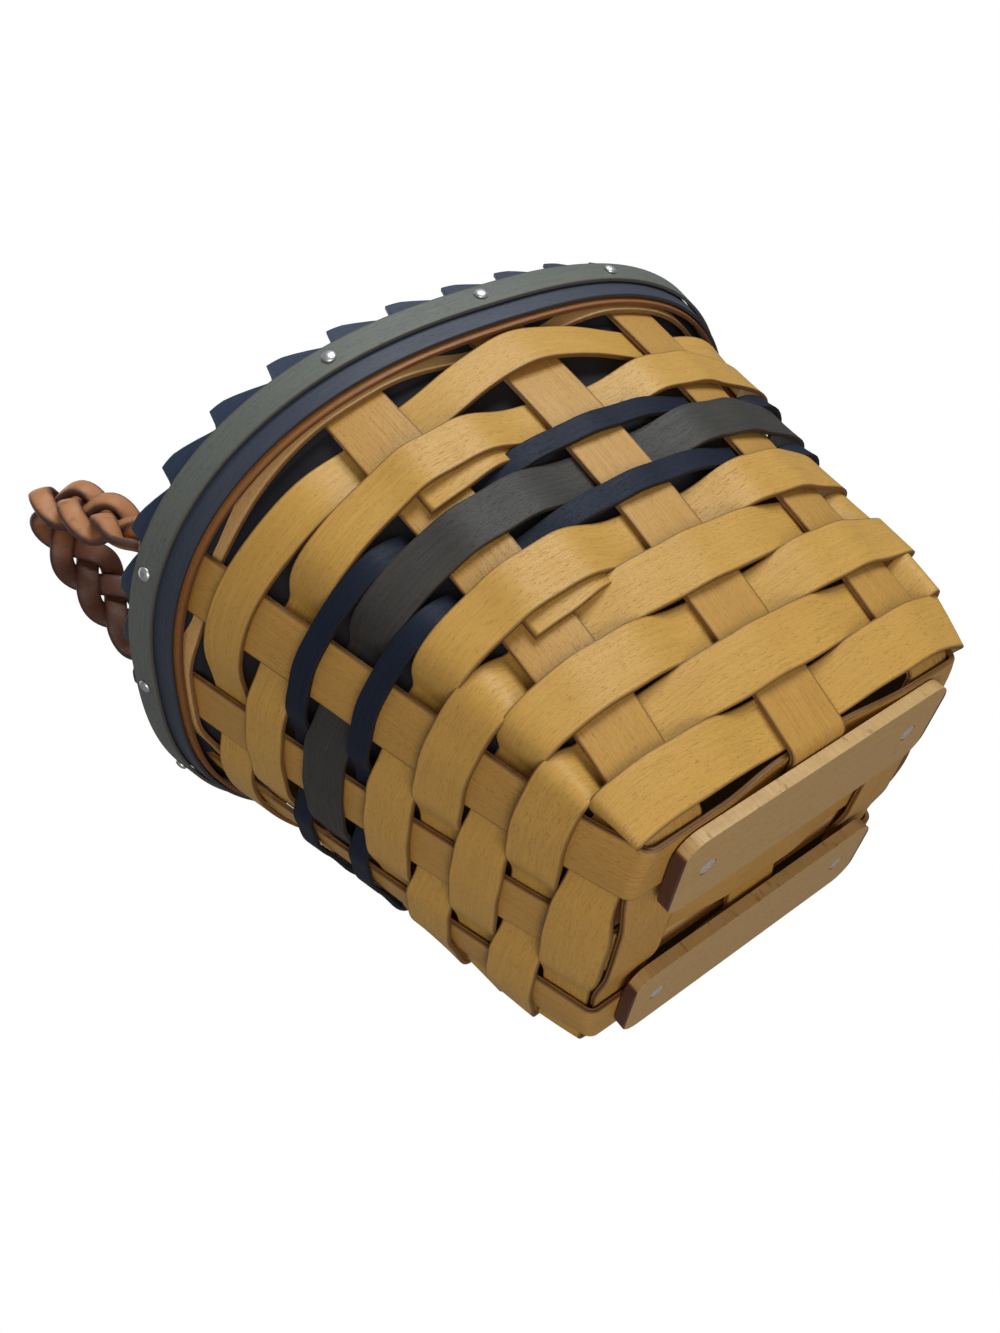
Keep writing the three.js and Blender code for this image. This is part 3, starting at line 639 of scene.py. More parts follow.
@dataclass(frozen=True)
class Wall:
    """Outline of the basket's wall, in millimetres, square at the base and oval at the rim.

    Heights on it are measured from the middle of the base weave.
    """

    stake_width: float = 12.7
    stake_thickness: float = 1.1
    weaver_thickness: float = 1.0
    splint_gap: float = 0.3
    base_length: float = 80.0
    base_width: float = 67.0
    base_cross_spacing: float = 31.0
    base_long_spacing: float = 24.4
    rim_length: float = 145.6
    rim_width: float = 120.0
    end_bulge: float = 1.2
    front_bulge: float = 5.0
    rim_cross_spacing: float = 33.7
    rim_long_spacing: float = 28.0
    base_squareness: float = 12.0
    rim_squareness: float = 2.5
    square_height: float = 16.0
    base_level: float = 4.05
    rim_level: float = 99.346
    edge_margin: float = 0.5
    paces: int = 12
    pace_angle: float = 0.002

    @property
    def weave_swing(self) -> float:
        """Distance of a weaver's middle from the wall's middle where it passes a stake."""
        return (self.stake_thickness + self.weaver_thickness) / 2 + self.splint_gap

    def outline(self, height: float) -> Triple:
        """Oval of the wall at one height.

        Args:
            height: Height on the wall.

        Returns:
            Its half length, half width and squareness.
        """
        rise = height / self.rim_level
        swell = 4 * rise * (1 - rise)
        length = lerp(self.base_length, self.rim_length, rise) / 2 + self.end_bulge * swell
        width = lerp(self.base_width, self.rim_width, rise) / 2 + self.front_bulge * swell
        extra = self.base_squareness - self.rim_squareness
        extra *= math.exp(-height / self.square_height)
        return length, width, self.rim_squareness + extra

    def point(self, angle: float, height: float, offset: float = 0.0) -> Vector:
        """Point of the wall.

        Args:
            angle: Angle round the basket.
            height: Height on the wall.
            offset: Distance out from the wall.

        Returns:
            The point, in millimetres.
        """
        length, width, power = self.outline(height)
        across = abs(math.cos(angle) / length)
        along = abs(math.sin(angle) / width)
        reach = (across**power + along**power) ** (-1 / power)
        x, y = math.cos(angle) * reach, math.sin(angle) * reach
        place = Vector((x, y, self.base_level + height))
        return place + self.normal(angle, height) * offset if offset else place

    def normal(self, angle: float, height: float) -> Vector:
        """Level direction out of the wall.

        Args:
            angle: Angle round the basket.
            height: Height on the wall.

        Returns:
            The direction, of unit length.
        """
        length, width, power = self.outline(height)
        x = math.cos(angle) / length
        y = math.sin(angle) / width
        most = max(abs(x), abs(y))
        across = math.copysign(abs(x / most) ** (power - 1), x) / length
        along = math.copysign(abs(y / most) ** (power - 1), y) / width
        return Vector((across, along, 0.0)).normalized()

    def place(self, angle: float, height: float, offset: float) -> Matrix:
        """Place on the leaning wall.

        Args:
            angle: Angle round the basket.
            height: Height on the wall.
            offset: Distance out from the wall.

        Returns:
            Matrix with columns round the wall, up it, out of it, and the point.
        """
        rise = self.point(angle, height + 1, offset) - self.point(angle, height - 1, offset)
        around = UP.cross(self.normal(angle, height))
        up = (rise - around * rise.dot(around)).normalized()
        matrix = Matrix((around, up, around.cross(up))).transposed().to_4x4()
        matrix.translation = self.point(angle, height, offset)
        return matrix

    def walk(self, angle: float, height: float, distance: float) -> float:
        """Walks round the wall.

        Args:
            angle: Angle at the start.
            height: Height on the wall.
            distance: Way to go.

        Returns:
            Angle at the end.
        """
        for _ in range(self.paces):
            here = self.point(angle - self.pace_angle, height)
            there = self.point(angle + self.pace_angle, height)
            pace = (here - there).length / (2 * self.pace_angle)
            angle += distance / self.paces / pace
        return angle

    def distance(self, start: float, end: float, height: float) -> float:
        """Way round the wall between two angles."""
        shares = [step / self.paces for step in range(self.paces + 1)]
        return lengths_along([self.point(lerp(start, end, share), height) for share in shares])[-1]

    def leg_angle(self, index: int, height: float) -> float:
        """Angle of a leg's middle line.

        Args:
            index: Number of the leg, which may run on past a full turn.
            height: Height on the wall.

        Returns:
            The angle, growing from leg to leg.
        """
        turns, at = divmod(index, len(LEGS))
        leg = LEGS[at]
        length, width, power = self.outline(height)
        rise = height / self.rim_level
        if leg.side in (Side.LEFT, Side.RIGHT):
            y = leg.place * lerp(self.base_long_spacing, self.rim_long_spacing, rise)
            x = oval(length, y / width, power)
            x = x if leg.side is Side.RIGHT else -x
        else:
            x = leg.place * lerp(self.base_cross_spacing, self.rim_cross_spacing, rise)
            y = oval(width, x / length, power)
            y = y if leg.side is Side.BACK else -y
        angle = math.atan2(y, x)
        if angle < 0 and at != 0:
            angle += FULL_TURN
        return angle + turns * FULL_TURN


# Swept pieces


@dataclass
class Station:
    """One cut across a swept piece: its edges, its middle and the direction out of its face."""

    left: Vector
    middle: Vector
    right: Vector
    face: Vector
    thickness: float

    def at(self, across: float, depth: float) -> Vector:
        """Point of the cut.

        Args:
            across: Place from -1 at the left edge to 1 at the right.
            depth: Place from -0.5 to 0.5 through the thickness.

        Returns:
            The point.
        """
        low = across * (across - 1) / 2
        high = across * (across + 1) / 2
        spine = self.left * low + self.middle * (1 - across * across) + self.right * high
        return spine + self.face * (depth * self.thickness)


@dataclass(frozen=True)
class Seeds:
    """Numbers that set the grain of like pieces apart."""

    first: float
    step: float

    def of(self, number: int) -> float:
        """Seed of one piece."""
        return self.first + self.step * number


@dataclass(frozen=True)
class Wander:
    """Slow wander along a strip: its size, its pace and its layer of the noise."""

    size: float
    pace: float
    layer: float = 0.0

    def at(self, cut: int, seed: float) -> float:
        """How far it has wandered at a cut."""
        return self.size * waver(cut * self.pace, seed, self.layer)


def splint_profile(edge: float, plies: bool = False) -> Profile:
    """Cut of a flat splint with eased edges.

    Args:
        edge: Radius of the edges as a share of half the width.
        plies: Whether a fine groove parts its edges into two layers.

    Returns:
        Places across, places through the thickness and edge darkening, partly rubbed and partly
        painted shade, round the cut.
    """
    corner, inner, eased_side = 1 - edge, 1 - 3 * edge, 1 - 0.25 * edge
    # The second number of each face point and the third of each side point set how dark it runs:
    # rubbed brown plus painted shade near the edges.
    face = [(-corner, 0.75), (-inner, 0.12), (-0.5, 0.0), (0.0, 0.0), (0.5, 0.0)]
    face += [(inner, 0.12), (corner, 0.75)]
    groove = [(1.0, 0.12, 0.8), (corner, 0.0, 1.0), (1.0, -0.12, 0.8)]
    side = [(eased_side, 0.45, 0.9), (1.0, 0.34, 1.0)]
    side += groove if plies else [(1.0, 0.0, 1.0)]
    side += [(1.0, -0.34, 1.0), (eased_side, -0.45, 0.9)]
    half = [*((across, 0.5, wear_and_shade) for across, wear_and_shade in face), *side]
    return [*half, *((-across, -depth, wear_and_shade) for across, depth, wear_and_shade in half)]


def round_profile(points: int, flatness: float) -> Profile:
    """Cut of a rounded strand.

    Args:
        points: Number of points round it.
        flatness: 1 for an ellipse, less for a flatter crown.

    Returns:
        Places across, places through the thickness and the share of painted shade towards the
        edges, round the cut.
    """
    profile = []
    for step in range(points):
        turn = FULL_TURN * step / points
        depth = math.copysign(abs(math.sin(turn)) ** flatness, math.sin(turn)) / 2
        profile.append((-math.cos(turn), depth, abs(math.cos(turn)) ** 3))
    return profile


def cuts_between(
    rails: Sequence[Sequence[Vector]], uneven: Uneven, closed: bool = False
) -> list[Station]:
    """Cuts of a strip between its rails.

    Args:
        rails: Points of its left edge, its middle and its right edge.
        uneven: Shift of the left edge, shift of the right edge and thickness, by number of cut.
        closed: Whether the strip is a ring.

    Returns:
        The cuts.
    """
    middles = rails[1]
    count = len(middles)
    stations = []
    for at, (left, middle, right) in enumerate(zip(*rails)):
        before = middles[(at - 1) % count] if closed else middles[max(at - 1, 0)]
        after = middles[(at + 1) % count] if closed else middles[min(at + 1, count - 1)]
        face = (after - before).cross(right - left).normalized()
        across = (right - left).normalized()
        low, high, thickness = uneven(at)
        points = left + across * low, middle, right + across * high
        stations.append(Station(*points, face, thickness))
    return stations


def swept(
    name: str, stations: Sequence[Station], profile: Profile, seed: float, closed: bool = False
) -> Piece:
    """Makes a piece by carrying a closed cut along a row of stations.

    Args:
        name: Name of the object.
        stations: Its cuts in millimetres, in order.
        profile: The cut carried along them.
        seed: Number that sets it apart.
        closed: Whether the last cut joins the first.

    Returns:
        The new object, with the attributes "lay" and "edge".
    """
    rows = [*stations, stations[0]] if closed else list(stations)
    lengths = lengths_along([row.middle for row in rows])
    cuts = len(rows) - 1
    points = len(profile)
    mesh = bmesh.new()
    lay = mesh.verts.layers.float_vector.new("lay")
    wear_and_shade = mesh.verts.layers.float.new("edge")
    bmesh.ops.create_grid(mesh, x_segments=cuts, y_segments=points, size=0.5)
    for vert in mesh.verts:
        row = round((vert.co.x + 0.5) * cuts)
        across, depth, edge = profile[round((vert.co.y + 0.5) * points) % points]
        station = rows[row]
        half = (station.right - station.left).length / 2
        vert.co = station.at(across, depth) * MM
        vert[lay] = Vector((lengths[row], across * half, seed))
        vert[wear_and_shade] = edge
    bmesh.ops.remove_doubles(mesh, verts=mesh.verts, dist=WELD)
    if not closed:
        rims = [edge for edge in mesh.edges if edge.is_boundary]
        for cap in bmesh.ops.holes_fill(mesh, edges=rims, sides=0)["faces"]:
            for vert in cap.verts:
                vert[wear_and_shade] = 1.0
    bmesh.ops.recalc_face_normals(mesh, faces=mesh.faces)
    for face in mesh.faces:
        face.smooth = len(face.verts) == 4
    return finished(name, mesh)


def finished(name: str, mesh: bmesh.types.BMesh) -> Piece:
    """Turns a bmesh into an object at the origin.

    Args:
        name: Name of the object and its mesh.
        mesh: The bmesh, which is freed.

    Returns:
        The object, linked into the scene.
    """
    data = bpy.data.meshes.new(name)
    mesh.to_mesh(data)
    mesh.free()
    return linked(name, data)


def linked(name: str, data: bpy.types.ID) -> Piece:
    """Object of some data, linked into the scene.

    Args:
        name: Name of the object.
        data: Its data, such as a mesh.

    Returns:
        The new object.
    """
    made = bpy.data.objects.new(name, data)
    bpy.context.scene.collection.objects.link(made)
    return made


@dataclass(frozen=True)
class Fastener:
    """Round-headed fastener, spun from its outline, with its sizes in millimetres."""

    radius: float
    height: float
    shank: float
    length: float
    domed: bool = True
    side_share: float = 0.22
    flat_ease: float = 0.5
    flat_crown: float = 1.02
    curve_steps: int = 7
    spin_steps: int = 28
    weld: float = 1e-4

    def crown(self) -> list[Pair]:
        """Outline of the head, domed or flat with a round edge.

        Returns:
            Radii and heights from its rim to its middle.
        """
        crown = [(self.radius, 0.0), (self.radius, self.height * self.side_share)]
        side = self.side_share if self.domed else self.flat_ease
        for step in range(1, self.curve_steps + 1):
            turn = step / self.curve_steps * math.pi / 2
            ease = self.height * self.flat_ease * (1 - math.cos(turn))
            out = self.radius * math.cos(turn) if self.domed else self.radius - ease
            crown.append((max(out, 0.0), self.height * lerp(side, 1.0, math.sin(turn))))
        return crown if self.domed else [*crown, (0.0, self.height * self.flat_crown)]

    def piece(self, name: str, place: Matrix) -> Piece:
        """Builds the fastener.

        Args:
            name: Name of the object.
            place: Its place, with the head out along the third column, in millimetres.

        Returns:
            The new object.
        """
        foot = [(0.0, -self.length), (self.shank, -self.length), (self.shank, 0.0)]
        mesh = bmesh.new()
        verts = [mesh.verts.new((across, 0.0, up)) for across, up in [*foot, *self.crown()]]
        edges = [mesh.edges.new(pair) for pair in zip(verts, verts[1:])]
        bmesh.ops.spin(
            mesh,
            geom=[*verts, *edges],
            cent=(0, 0, 0),
            axis=(0, 0, 1),
            dvec=(0, 0, 0),
            angle=FULL_TURN,
            steps=self.spin_steps,
            use_merge=True,
            use_duplicate=False,
        )
        bmesh.ops.remove_doubles(mesh, verts=mesh.verts, dist=self.weld)
        bmesh.ops.recalc_face_normals(mesh, faces=mesh.faces)
        bmesh.ops.transform(mesh, matrix=Matrix.Scale(MM, 4) @ place, verts=mesh.verts)
        for face in mesh.faces:
            face.smooth = True
        return finished(name, mesh)


@dataclass
class Maker:
    """Gives each new piece its finish and its body, and hides the solid that it stands for."""

    finishes: Finishes

    def dress(self, piece: Piece, finish: Finish, node: str, body: Body = Body.BASKET) -> None:
        """Finishes a piece.

        Args:
            piece: The new object.
            finish: Its finish.
            node: The solid that it stands for.
            body: The body that it rides on.
        """
        piece.data.materials.append(self.finishes.of(finish))
        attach(piece, body.value)
        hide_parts(node)
        log.info("%s: %d faces on %s", piece.name, len(piece.data.polygons), body.value)


# Sub-assemblies


@dataclass
class Stakes:
    """Six splints that cross under the base and run up the walls, and two that fill the base."""

    wall: Wall
    maker: Maker
    bend_radius: float = 2.2
    wall_steps: int = 70
    bend_steps: int = 9
    base_steps: int = 48
    filler_steps: int = 40
    lowest: float = 4.6
    lean_reach: float = 3.0
    edge: float = 0.03
    filler_length: float = 76.0
    filler_thinning: float = 0.95
    spread: float = 1.7
    spread_height: float = 14.0
    base_spread: float = 0.96
    press: float = 1.6
    press_height: float = 6.0
    width: Wander = Wander(0.18, 0.07)
    shift: Wander = Wander(0.12, 0.09, 4.0)
    thinness: float = 0.94
    thickness: Wander = Wander(0.07, 0.05, 9.0)
    filler_left: Wander = Wander(-0.12, 0.2)
    filler_right: Wander = Wander(0.12, 0.2, 3.0)
    seeds: Seeds = Seeds(31.0, 5.3)
    filler_seeds: Seeds = Seeds(64.0, 5.3)

    def build(self) -> None:
        """Builds and dresses the stakes and fillers."""
        runs = (
            ("cross_stake_left", 8, 4, Run.CROSSWISE, -1),
            ("cross_stake_middle", 9, 3, Run.CROSSWISE, 0),
            ("cross_stake_right", 10, 2, Run.CROSSWISE, 1),
            ("long_stake_front", 7, 11, Run.LENGTHWISE, -1),
            ("long_stake_middle", 6, 0, Run.LENGTHWISE, 0),
            ("long_stake_back", 5, 1, Run.LENGTHWISE, 1),
        )
        finishes = self.maker.finishes
        for number, (node, first, second, run, place) in enumerate(runs):
            seed = self.seeds.of(number)
            stations = self.stations(first, second, run, place, seed)
            piece = swept(f"{node}_splint", stations, splint_profile(self.edge, True), seed)
            self.maker.dress(piece, finishes.stake, node)
        for number, (side, sign) in enumerate((("front", -1), ("back", 1))):
            node = f"base_filler_{side}"
            seed = self.filler_seeds.of(number)
            piece = swept(f"{node}_splint", self.filler(sign), splint_profile(self.edge), seed)
            # The fillers take the paler finish of painted light.
            self.maker.dress(piece, finishes.filler, node)

    def filler(self, sign: int) -> list[Station]:
        """Cuts of a filler splint, which closes the base between two long stakes.

        Args:
            sign: -1 for the front one and 1 for the back one.

        Returns:
            The cuts.
        """
        wall = self.wall
        half = (wall.base_long_spacing - wall.stake_width) / 2 - wall.splint_gap
        thick = wall.weaver_thickness
        level = wall.base_level + (wall.stake_thickness + wall.splint_gap) / 2
        level += (wall.stake_thickness + thick) / 2 + wall.splint_gap
        steps = self.filler_steps
        marks = [self.filler_length * (step / steps - 0.5) for step in range(steps + 1)]
        places = [sign * wall.base_long_spacing / 2 + edge * half for edge in (1, 0, -1)]
        rails = [[Vector((along, y, level)) for along in marks] for y in places]

        def uneven(at: int) -> Triple:
            """Shifts of both edges and thickness at a cut."""
            shifts = self.filler_left.at(at, sign), self.filler_right.at(at, sign)
            return *shifts, thick * self.filler_thinning

        return cuts_between(rails, uneven)

    def rails(self, leg: int, height: float, swap: bool) -> Rail:
        """Edge, middle and edge of a leg, drawn to its corner and pressed in near the base.

        Args:
            leg: Number of the leg.
            height: Height on the wall.
            swap: Whether its rails are taken in the other order.

        Returns:
            The three points.
        """
        middle = self.wall.leg_angle(leg, height)
        half = self.wall.stake_width / 2
        # Each side's outer legs are drawn to their corners, and the first weaver covers even ones.
        towards = {1: 1, 2: -1}.get(leg % 3, 0)
        drawn = towards * self.spread * math.exp(-height / self.spread_height)
        turns = [self.wall.walk(middle, height, edge * half + drawn) for edge in (-1, 0, 1)]
        pressed = 0.0 if leg % 2 else self.press * math.exp(-height / self.press_height)
        rails = [self.wall.point(turn, height, -pressed) for turn in turns]
        return rails[::-1] if swap else rails

    def side(self, leg: int, inward: Vector, swap: bool, level: float) -> list[Rail]:
        """Leg from the rim down the wall and round into the base.

        Args:
            leg: Number of the leg.
            inward: Direction in which the base runs on.
            swap: Whether its rails are taken in the other order.
            level: Height of the base there.

        Returns:
            Three rails at each cut.
        """
        shares = [step / self.wall_steps for step in range(self.wall_steps + 1)]
        heights = [lerp(self.wall.rim_level, self.lowest, share) for share in shares]
        rows = [self.rails(leg, height, swap) for height in heights]
        above = self.rails(leg, self.lowest + self.lean_reach, swap)
        bends = [self.bend(low, high, inward, level) for low, high in zip(rows[-1], above)]
        return rows + [list(row) for row in zip(*bends)]

    def bend(self, low: Vector, high: Vector, inward: Vector, level: float) -> Rail:
        """Rounded corner from the wall into the base.

        Args:
            low: Lowest point of the wall rail.
            high: A point of the rail above it.
            inward: Direction in which the base runs on.
            level: Height of the base there.

        Returns:
            Points from the wall to the base.
        """
        down = (low - high).normalized()
        corner = low + down * ((level - low.z) / down.z)
        turn = down.angle(inward)
        start = corner - down * (self.bend_radius * math.tan(turn / 2))
        centre = corner + (inward - down).normalized() * (self.bend_radius / math.cos(turn / 2))
        axis = down.cross(inward).normalized()
        spoke = start - centre
        steps = self.bend_steps
        turns = [Quaternion(axis, turn * step / steps) for step in range(steps + 1)]
        return [centre + part @ spoke for part in turns]

    def base(self, run: Run, place: int, levels: Pair) -> list[Rail]:
        """Stake's run under the base, over and under the stakes that it crosses.

        Args:
            run: Its direction.
            place: Its place among its three neighbours.
            levels: Its height at the middle crossing and at the outer ones.

        Returns:
            Three rails at each cut.
        """
        wall = self.wall
        crosswise = run is Run.CROSSWISE
        own, crossing = wall.base_cross_spacing, wall.base_long_spacing
        if not crosswise:
            own, crossing = crossing, own
        home = place * (self.spread * self.base_spread + own)
        reach = wall.stake_width / 2 + wall.edge_margin
        rows = []
        for step in range(self.base_steps + 1):
            along = lerp(-crossing + reach, crossing - reach, step / self.base_steps)
            height = lerp(*levels, smooth(reach, crossing - reach, abs(along)))
            places = [home + edge * wall.stake_width / 2 for edge in (-1, 0, 1)]
            pairs = [(at, along) if crosswise else (along, at) for at in places]
            rows.append([Vector((*pair, height)) for pair in pairs])
        return rows

    def stations(
        self, first: int, second: int, run: Run, place: int, seed: float
    ) -> list[Station]:
        """Cuts of a whole stake from rim to rim.

        Args:
            first: Leg on which it starts.
            second: Leg on which it ends.
            run: Direction of its run under the base.
            place: Its place among its three neighbours.
            seed: Number that sets it apart.

        Returns:
            The cuts.
        """
        wall = self.wall
        crosswise = run is Run.CROSSWISE
        swing = (wall.stake_thickness + wall.splint_gap) / 2
        above = (place % 2 == 0) == crosswise
        middle = wall.base_level + (swing if above else -swing)
        outer = wall.base_level + (-swing if above else swing)
        inward = Vector((0, 1, 0)) if crosswise else Vector((1, 0, 0))
        start = self.side(first, inward, not crosswise, outer)
        end = self.side(second, -inward, crosswise, outer)
        rows = [*start, *self.base(run, place, (middle, outer)), *end[::-1]]

        def uneven(at: int) -> Triple:
            """Unevenness of one cut.

            Args:
                at: Number of the cut.

            Returns:
                Shifts of both edges, and the thickness.
            """
            width, shift = self.width.at(at, seed), self.shift.at(at, seed)
            thick = wall.stake_thickness * (self.thinness + self.thickness.at(at, seed))
            return shift - width, shift + width, thick

        return cuts_between([list(rail) for rail in zip(*rows)], uneven)


@dataclass
class Span:
    """A weaver's way over one gap and the leg after it, at one height."""

    row: int
    height: float
    step: int
    leg: int
    held: bool
    lapped: bool
    leave_tuck: float = 0.0
    arrive_tuck: float = 0.0

    @property
    def side(self) -> int:
        """1 where the row covers the leg that it leaves, -1 where it goes behind."""
        return 1 if (self.leg + self.row) % 2 == 0 else -1

    @property
    def settle(self) -> float:
        """Depth at which it meets the next leg, less than 0 outwards."""
        return self.arrive_tuck / 2 if self.arrive_tuck < 0 else self.arrive_tuck


@dataclass
class Weavers:
    """Eleven splints that go round the wall, in front of one leg and behind the next."""

    wall: Wall
    maker: Maker
    weaver_width: float = 9.5
    accent_width: float = 4.75
    last_width: float = 6.35
    lean_rise: float = math.cos(math.radians(19.0))
    first_lift: float = 1.5
    bulge: float = 0.02
    lap_step: float = 1.4
    lap_reach: float = 2.5
    lap_drop: float = 3.4
    lap_fade: float = 0.9
    lap_steps: int = 8
    lapped_rows: tuple[int, ...] = (4, 8)
    lapped_start: int = 8
    hidden_start: int = 2
    butt_gap: float = 0.3
    side_ease: float = 0.45
    corner_ease_over: float = 0.9
    corner_ease_under: float = 0.15
    corner_tuck: float = 2.0
    tuck_fade: float = 1.5
    corner_dip: float = 0.2
    corner_pull: float = 4.0
    soft_corner: int = 7
    sharp_corners: tuple[int, ...] = (1, 10)
    sharp_rows: int = 3
    corner_stand: float = 1.3
    middle_stand: float = 0.4
    loose_gap: float = 1.8
    last_gap: float = 3.0
    loose_dip: float = 1.4
    top_rise: float = 3.2
    top_stand: float = 1.8
    arch_foot: float = 0.85
    arch_start: float = 0.1
    first_drop: float = 1.0
    first_fade: int = 70
    end_drop: float = 1.5
    end_curl: float = 0.2
    end_focus: int = 4
    fuller: float = 0.9
    fuller_fade: int = 20
    fuller_rows: int = 5
    easing: int = 5
    top_easing: int = 36
    swing_steps: int = 18
    leg_steps: int = 12
    edge: float = 0.035
    low_edge: Wander = Wander(0.14, 0.11)
    high_edge: Wander = Wander(0.14, 0.12, 5.0)
    thinness: float = 0.92
    thickness: Wander = Wander(0.08, 0.06, 9.0)
    seeds: Seeds = Seeds(2.0, 4.7)
    dyes: tuple[Dye, ...] = (
        *(Dye.NATURAL,) * 5, Dye.BLUE, Dye.GREEN, Dye.BLUE, *(Dye.NATURAL,) * 3
    )

    def widths(self) -> list[float]:
        """Widths of the rows.

        Returns:
            The width of each, from the lowest up.
        """
        narrow = self.accent_width
        widths = [narrow if dye is Dye.BLUE else self.weaver_width for dye in self.dyes]
        return [*widths[:-1], self.last_width]

    def bottoms(self) -> list[float]:
        """Lower edges of the rows.

        Returns:
            The height of each, and of the row that would follow.
        """
        wider = {self.top_row: self.loose_gap, self.top_row + 1: self.last_gap}
        heights = [self.first_lift]
        for row, width in enumerate(self.widths()):
            gap = self.wall.splint_gap + wider.get(row + 1, 0.0)
            heights.append(heights[-1] + width * self.lean_rise + gap)
        return heights

    @property
    def top_row(self) -> int:
        """Number of the last row under the one that the hoops hold."""
        return len(self.dyes) - 2

    def top(self) -> float:
        """Upper height of the last row."""
        return self.bottoms()[-1] - self.wall.splint_gap

    def dip(self, row: int) -> float:
        """How far a row hangs between the legs of a corner.

        Args:
            row: Number of the row.

        Returns:
            The distance down.
        """
        if row > self.top_row:
            return 0.0
        return self.corner_dip * row + (self.loose_dip if row == self.top_row else 0.0)

    def arch(self, row: int, leg: int) -> float:
        """Rise of the top free row where it arches over the middle of a long side.

        Args:
            row: Number of the row.
            leg: Number of the leg that it passes.

        Returns:
            The rise, which is 0 elsewhere.
        """
        at = LEGS[leg % len(LEGS)]
        long_side = at.side in (Side.FRONT, Side.BACK) and at.place == 0
        arched = row == self.top_row and long_side and (leg + row) % 2 == 0
        return self.top_rise if arched else 0.0

    def near(self, part: float) -> float:
        """Share of an arch's rise at a part of the way to its leg."""
        return self.arch_foot * smooth(self.arch_start, 1.0, part)

    def slide(self, point: Vector, angle: float, height: float, rise: float) -> Vector:
        """Moves a point up along the wall.

        Args:
            point: The point.
            angle: Its angle round the basket.
            height: Its height on the wall.
            rise: How far up it moves.

        Returns:
            The moved point.
        """
        if not rise:
            return point
        return point + self.wall.point(angle, height + rise) - self.wall.point(angle, height)

    def build(self) -> None:
        """Builds and dresses the eleven weavers."""
        finishes = self.maker.finishes
        dyed = {Dye.BLUE: finishes.dark_blue, Dye.GREEN: finishes.dark_green}
        for row, dye in enumerate(self.dyes):
            node = f"weaver_{row + 1:02d}_{dye.value}"
            seed = self.seeds.of(row)
            profile = splint_profile(self.edge * 2 if dye is Dye.BLUE else self.edge)
            piece = swept(f"{node}_splint", self.stations(row, seed), profile, seed)
            # The top row takes the paler finish of painted light, against the rim's shade.
            plain = finishes.natural if row <= self.top_row else finishes.filler
            self.maker.dress(piece, dyed.get(dye, plain), node)

    def leg_edges(self, leg: int, height: float) -> tuple[float, float, Vector]:
        """Edges of a leg.

        Args:
            leg: Number of the leg.
            height: Height on the wall.

        Returns:
            Angles of its first and second edge, and the direction across it.
        """
        wall = self.wall
        middle = wall.leg_angle(leg, height)
        reach = wall.stake_width / 2 + wall.edge_margin
        first, second = (wall.walk(middle, height, distance) for distance in (-reach, reach))
        run = (wall.point(second, height) - wall.point(first, height)).normalized()
        return first, second, run

    def rail(self, row: int, height: float, stand: float) -> Rail:
        """One rail of a weaver, from end to end.

        Args:
            row: Number of the row from the base.
            height: Height of the rail.
            stand: How far it stands off the wall at a corner.

        Returns:
            Its points.
        """
        held = row > self.top_row
        lapped = row in self.lapped_rows
        first = self.lapped_start if lapped else self.hidden_start + row % 2
        points: Rail = []
        for step in range(len(LEGS) + 1):
            tucks = (0.0, 0.0) if held else self.tucks(step, lapped)
            span = Span(row, height, step, first + step, held, lapped, *tucks)
            if held and step:
                points += self.held_gap(span)
            elif not held:
                points += self.free_gap(span, stand)
            points += self.past_leg(span)
        return points

    def held_gap(self, span: Span) -> Rail:
        """Points over a gap of the row that the hoops hold, close to the wall.

        Args:
            span: The row's way there.

        Returns:
            Its points.
        """
        _, leave, _ = self.leg_edges(span.leg, span.height)
        arrive, _, _ = self.leg_edges(span.leg + 1, span.height)
        points = []
        for at in range(self.swing_steps + 1):
            share = at / self.swing_steps
            offset = lerp(span.side, -span.side, smooth(0, 1, share)) * self.wall.weave_swing
            points.append(self.wall.point(lerp(leave, arrive, share), span.height, offset))
        return points

    def free_gap(self, span: Span, stand: float) -> Rail:
        """Points over a gap of a free row, on an even curve from one leg to the next.

        Args:
            span: The row's way there.
            stand: How far it stands off the wall at a corner.

        Returns:
            Its points, with those of its cut start before them where it laps in front.
        """
        wall = self.wall
        row, leg, height, side = span.row, span.leg, span.height, span.side
        place = leg % len(LEGS)
        corner = self.turns(leg)
        _, leave_angle, leave_run = self.leg_edges(leg, height)
        arrive_angle, _, arrive_run = self.leg_edges(leg + 1, height)
        before = self.deeper(row, leg, side)
        swing = side * wall.weave_swing
        leave = wall.point(leave_angle, height, swing - span.leave_tuck - before[0])
        arrive = wall.point(arrive_angle, height, -swing - span.settle - before[1])
        ease = [self.side_ease] * 2
        if corner:
            ease = [self.corner_ease_over, self.corner_ease_under]
        sharp = place in self.sharp_corners and row < self.sharp_rows
        pull = [self.corner_pull if sharp else 1.0, 1.0]
        if side < 0:
            ease.reverse()
            pull.reverse()
        gap = (arrive - leave).length
        ahead = leave + leave_run * (ease[0] * gap)
        marks = (leave, ahead, arrive - arrive_run * (ease[1] * gap), arrive)
        arches = (self.arch(row, leg) if span.step else 0.0, self.arch(row, leg + 1))
        dip = self.dip(row) if corner else 0.0
        proud = stand if corner and place != self.soft_corner else 0.0
        starts = span.lapped and span.step == 0
        drop = self.lap_drop if starts else 0.0
        points = self.lap_start(leg, height, leave_angle) if starts else []
        for at in range(self.swing_steps + 1):
            point = self.curve(marks, pull, at / self.swing_steps)
            turn = math.atan2(point.y, point.x) - leave_angle
            turn = (turn + math.pi) % FULL_TURN - math.pi
            part = min(max(turn / (arrive_angle - leave_angle), 0.0), 1.0)
            hump = math.sin(math.pi * part) ** 2
